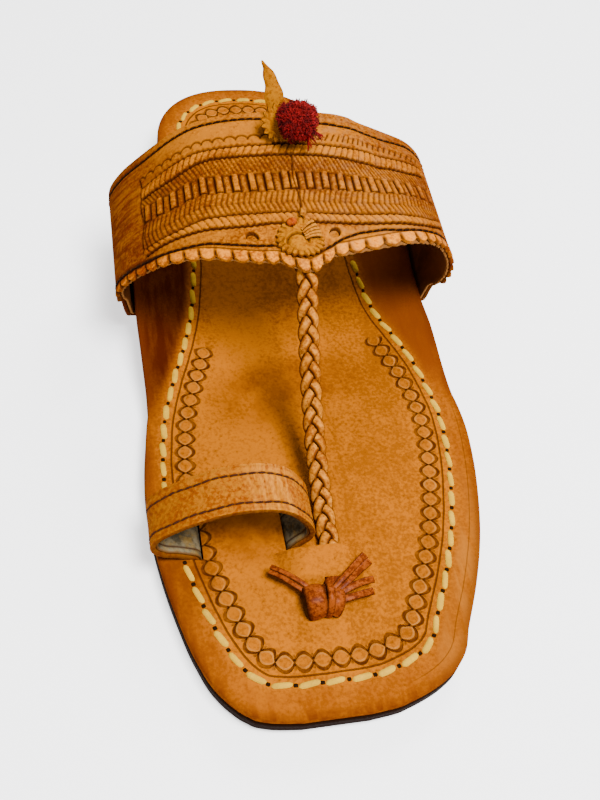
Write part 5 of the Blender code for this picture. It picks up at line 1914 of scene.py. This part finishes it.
    def ear(self):
        """The pointed leaf that stands up behind the pompom, curled like a horn."""
        x, y = REAR_ROSETTE[0] + EAR_OFFSET[0], REAR_ROSETTE[1] + EAR_OFFSET[1]
        z = crown(x, y + EAR_THICKNESS + 0.03 * EAR_HEIGHT)[0] + SEAT
        table = [
            # height, sideways, back, width
            (0.00, 0.020, 0.03, 0.80),
            (0.16, 0.020, 0.15, 1.00),
            (0.34, 0.000, 0.25, 0.98),
            (0.52, -0.040, 0.33, 0.84),
            (0.70, -0.110, 0.38, 0.62),
            (0.86, -0.190, 0.40, 0.36),
            (1.00, -0.270, 0.39, 0.04),
        ]
        section = np.array([(-1, 0.3), (-0.75, 0.05), (-0.5, -0.1), (-0.25, -0.2), (0, -0.25),
                            (0.25, -0.2), (0.5, -0.1), (0.75, 0.05), (1, 0.3), (0.95, 0.75),
                            (0.7, 0.92), (0.35, 0.85), (0, 0.78), (-0.35, 0.85), (-0.7, 0.92),
                            (-0.95, 0.75)])

        def lay(u, v):
            rows = rows_at(table, v * (len(table) - 1))
            k = nearest(u, len(section)) % len(section)
            across, depth = section[k].T
            half = np.maximum(rows[:, 3], 0.02) * EAR_WIDTH / 2
            thick = EAR_THICKNESS * np.minimum(1.0, 0.35 + rows[:, 3])
            flutter = 0.0002 * np.sin(v * 19 + across)
            return np.column_stack((x + rows[:, 1] * EAR_HEIGHT + across * half + flutter,
                                    y + rows[:, 2] * EAR_HEIGHT + depth * thick,
                                    z + rows[:, 0] * EAR_HEIGHT))

        piece, u, v = sheet("ear_leaf", len(section), 44, lay)
        k = nearest(u, len(section)) % len(section)
        rim = 0.45 * (np.abs(section[k][:, 0]) > 0.9)
        # The ear's side edges are darker, and its foot darker still as painted shade.
        store(piece, "ink", np.maximum(rim, 0.50 * (1 - smoothstep(v / 0.42))))
        weld(piece, FINE_WELD, fill=True)
        smooth(piece, 55)
        return piece


class SANDAL_OT_pompom(bpy.types.Operator):
    """Build the red wool pompom from bent yarn ends round a core"""

    bl_idname = "sandal.pompom"
    bl_label = "Pompom"

    def execute(self, context):
        trim = context.scene.sandal_trim
        x, y = POMPOM
        centre = np.array((x, y, crown(x, y)[0] + SEAT + POMPOM_RADIUS))
        core = added(bpy.ops.mesh.primitive_uv_sphere_add, segments=40, ring_count=28,
                     radius=1.0)
        rng = np.random.default_rng(7)
        ball = points_of(core)
        lumps = 0.76 + 0.05 * np.sin(ball @ (7.0, 3.0, 5.0)) * np.sin(ball @ (2.0, -8.0, 4.0))
        place_points(core, centre + ball * (POMPOM_RADIUS * lumps)[:, None])
        yarn = added(bpy.ops.mesh.primitive_cone_add, vertices=4, radius1=1.0, radius2=0.6,
                     depth=1.0)
        bpy.ops.object.mode_set(mode="EDIT")
        bpy.ops.mesh.select_all(action="SELECT")
        bpy.ops.mesh.bisect(plane_co=(0, 0, 0.1), plane_no=(0, 0, 1))
        bpy.ops.object.mode_set(mode="OBJECT")
        shape = points_of(yarn)
        copies = []
        golden = math.pi * (3 - math.sqrt(5))
        tufts = unit(rng.normal(0, 1, (150, 3)))
        reach = rng.uniform(0.80, 1.02, 150)
        loose = np.array((0.70, -0.50, -0.50))
        for k in range(trim.yarns):
            height = 1 - 2 * (k + 0.5) / trim.yarns
            ring = math.sqrt(1 - height * height)
            out = np.array((ring * math.cos(golden * k), ring * math.sin(golden * k), height))
            tuft = int(np.argmax(tufts @ out))
            out = unit(out * 0.72 + tufts[tuft] * 0.28 + rng.normal(0, 0.07, 3))
            side = unit(np.cross(out, (0.3, 0.2, 0.9)))
            other = np.cross(out, side)
            start = POMPOM_RADIUS * 0.66
            end = POMPOM_RADIUS * reach[tuft] * rng.uniform(0.92, 1.06)
            bend = rng.normal(0, 0.0008, 2)
            if out @ loose > 0.93 and k % 3 == 0:
                end = POMPOM_RADIUS * rng.uniform(1.1, 1.45)
                bend = bend * 1.6
            wide = 0.00021 * rng.uniform(0.75, 1.3)
            s = shape[:, 2] + 0.5
            along = start + (end - start) * s
            curve = (s ** 2)[:, None] * (side * bend[0] + other * bend[1])
            copies.append(centre + out * along[:, None] + side * (shape[:, 0] * wide)[:, None]
                          + other * (shape[:, 1] * wide)[:, None] + curve)
        yarns = joined("pompom_yarns", yarn, copies)
        piece = merged("pompom_wool", [yarns, core])
        smooth(piece, 60)
        material, bare = finish("red_wool_piece")
        place = bare.place()
        tuft = place.noise(0.0016, 3.0, 0.6).step(0.36, 0.62)
        lump = place.noise(0.0050, 2.0, 0.5).step(0.35, 0.65)
        colour = (tuft * 0.6 + lump * 0.4).mix(tone(trim.wool, 1.20), tone(trim.wool, 0.16))
        feed(material, Base_Color=colour, Roughness=0.85 + tuft * 0.12,
             Specular_IOR_Level=0.15)
        dress(piece, material, ("pompom",))
        return {"FINISHED"}


# The photograph in pixels, and the camera's sensor in millimetres.
PHOTO_WIDTH = 600
PHOTO_HEIGHT = 800
SENSOR = 36.0


class StageSettings(bpy.types.PropertyGroup):
    """Camera, floor and lights."""

    camera_place: bpy.props.FloatVectorProperty(
        name="Camera", description="Where the camera stands", subtype="TRANSLATION",
        default=(-0.06405, -0.2264, 0.2614))
    pitch: angle_prop("Pitch", "How far the photograph's view looks down", math.radians(48.5))
    roll: angle_prop("Roll", "How far the photograph's view is rolled", math.radians(-3.92))
    photo_focal: number_prop("Photo focal length", "The photograph's focal length in pixels", 620.0)
    focal: number_prop("Focal length", "The render's focal length in pixels", 980.0)
    aim: bpy.props.FloatVectorProperty(
        name="Aim", description="Pixel of the photograph that the camera is turned to",
        size=2, default=(427.0, 428.0))
    floor: colour_prop("Floor", "Colour of the floor", (0.92, 0.92, 0.93))
    key: number_prop("Key light", "Power of the main light in watts", 34.0)
    fill: number_prop("Fill", "Brightness of the surrounding light", 0.36)


def view_ray(u, v):
    """Direction of a pixel of the photograph, in the sandal's frame."""
    stage = bpy.context.scene.sandal_stage
    u, v = u - PHOTO_WIDTH / 2, v - PHOTO_HEIGHT / 2
    right = math.cos(stage.roll) * u + math.sin(stage.roll) * v
    down = -math.sin(stage.roll) * u + math.cos(stage.roll) * v
    x, d = right / stage.photo_focal, down / stage.photo_focal
    c, s = math.cos(stage.pitch), math.sin(stage.pitch)
    return Vector((x, c - s * d, -s - c * d))


class SANDAL_OT_stage(bpy.types.Operator):
    """Set the floor, the soft lights and the camera at the photograph's angle"""

    bl_idname = "sandal.stage"
    bl_label = "Stage"

    def execute(self, context):
        self.camera(context)
        self.floor(context)
        self.lights(context)
        return {"FINISHED"}

    def camera(self, context):
        stage = context.scene.sandal_stage
        camera = added(bpy.ops.object.camera_add, location=stage.camera_place)
        camera.name = "camera"
        aim = view_ray(*stage.aim)
        forward = aim.normalized()
        right = view_ray(stage.aim[0] + 1, stage.aim[1]) - aim
        right = (right - forward * right.dot(forward)).normalized()
        up = right.cross(forward)
        camera.rotation_euler = Matrix((right, up, -forward)).transposed().to_euler()
        camera.data.sensor_width = SENSOR
        camera.data.lens = stage.focal * SENSOR / PHOTO_HEIGHT
        camera.data.clip_start = 0.01
        camera.data.dof.use_dof = False
        context.scene.camera = camera

    def floor(self, context):
        floor = added(bpy.ops.mesh.primitive_plane_add, size=20.0)
        floor.name = floor.data.name = "floor"
        bpy.ops.object.mode_set(mode="EDIT")
        bpy.ops.mesh.subdivide(number_cuts=4)
        bpy.ops.object.mode_set(mode="OBJECT")
        material, bare = finish("floor_paper")
        soft = bare.place().noise(0.3, 2.0, 0.5)
        colour = context.scene.sandal_stage.floor
        feed(material, Base_Color=soft.mix(colour, tone(colour, 0.985)),
             Roughness=0.85 + soft * 0.1, Emission_Color=tone(colour), Emission_Strength=1.3)
        floor.data.materials.append(material)

    def lights(self, context):
        stage = context.scene.sandal_stage
        world = bpy.data.worlds.new("soft_room")
        world.use_nodes = True
        world.node_tree.nodes["Background"].inputs[0].default_value = (1.0, 0.99, 0.985, 1.0)
        world.node_tree.nodes["Background"].inputs[1].default_value = stage.fill
        context.scene.world = world
        for name, place, size, power in (
                ("key_light", (0.20, -0.36, 1.00), 0.42, stage.key),
                ("back_light", (0.45, 0.70, 0.70), 0.40, stage.key * 0.28)):
            light = added(bpy.ops.object.light_add, type="AREA", location=place)
            light.name = name
            light.data.size = size
            light.data.energy = power
            toward = (Vector((0.0, -0.02, 0.03)) - Vector(place)).normalized()
            light.rotation_euler = toward.to_track_quat("-Z", "Y").to_euler()


OPERATORS = (SANDAL_OT_stage, SANDAL_OT_soles, SANDAL_OT_footbed, SANDAL_OT_band,
             SANDAL_OT_braid, SANDAL_OT_toe_loop, SANDAL_OT_knot, SANDAL_OT_trim,
             SANDAL_OT_pompom)
SETTINGS = {"sandal_sole": SoleSettings, "sandal_band": BandSettings,
            "sandal_braid": BraidSettings, "sandal_trim": TrimSettings,
            "sandal_stage": StageSettings}


class SANDAL_PT_panel(bpy.types.Panel):
    """Lists the sandal's operators and settings"""

    bl_idname = "SANDAL_PT_panel"
    bl_label = "Kolhapuri sandal"
    bl_space_type = "VIEW_3D"
    bl_region_type = "UI"
    bl_category = "Sandal"

    def draw(self, context):
        for operator in OPERATORS:
            self.layout.operator(operator.bl_idname)
        for name, group in SETTINGS.items():
            box = self.layout.box()
            for size in group.__annotations__:
                box.prop(getattr(context.scene, name), size)


def register():
    for group in SETTINGS.values():
        bpy.utils.register_class(group)
    for name, group in SETTINGS.items():
        setattr(bpy.types.Scene, name, bpy.props.PointerProperty(type=group))
    for part in OPERATORS + (SANDAL_PT_panel,):
        bpy.utils.register_class(part)


def unregister():
    for part in reversed(OPERATORS + (SANDAL_PT_panel,)):
        bpy.utils.unregister_class(part)
    for name in SETTINGS:
        delattr(bpy.types.Scene, name)
    for group in SETTINGS.values():
        bpy.utils.unregister_class(group)


def main():
    register()
    for operator in OPERATORS:
        family, action = operator.bl_idname.split(".")
        getattr(getattr(bpy.ops, family), action)()


if __name__ == "__main__":
    main()
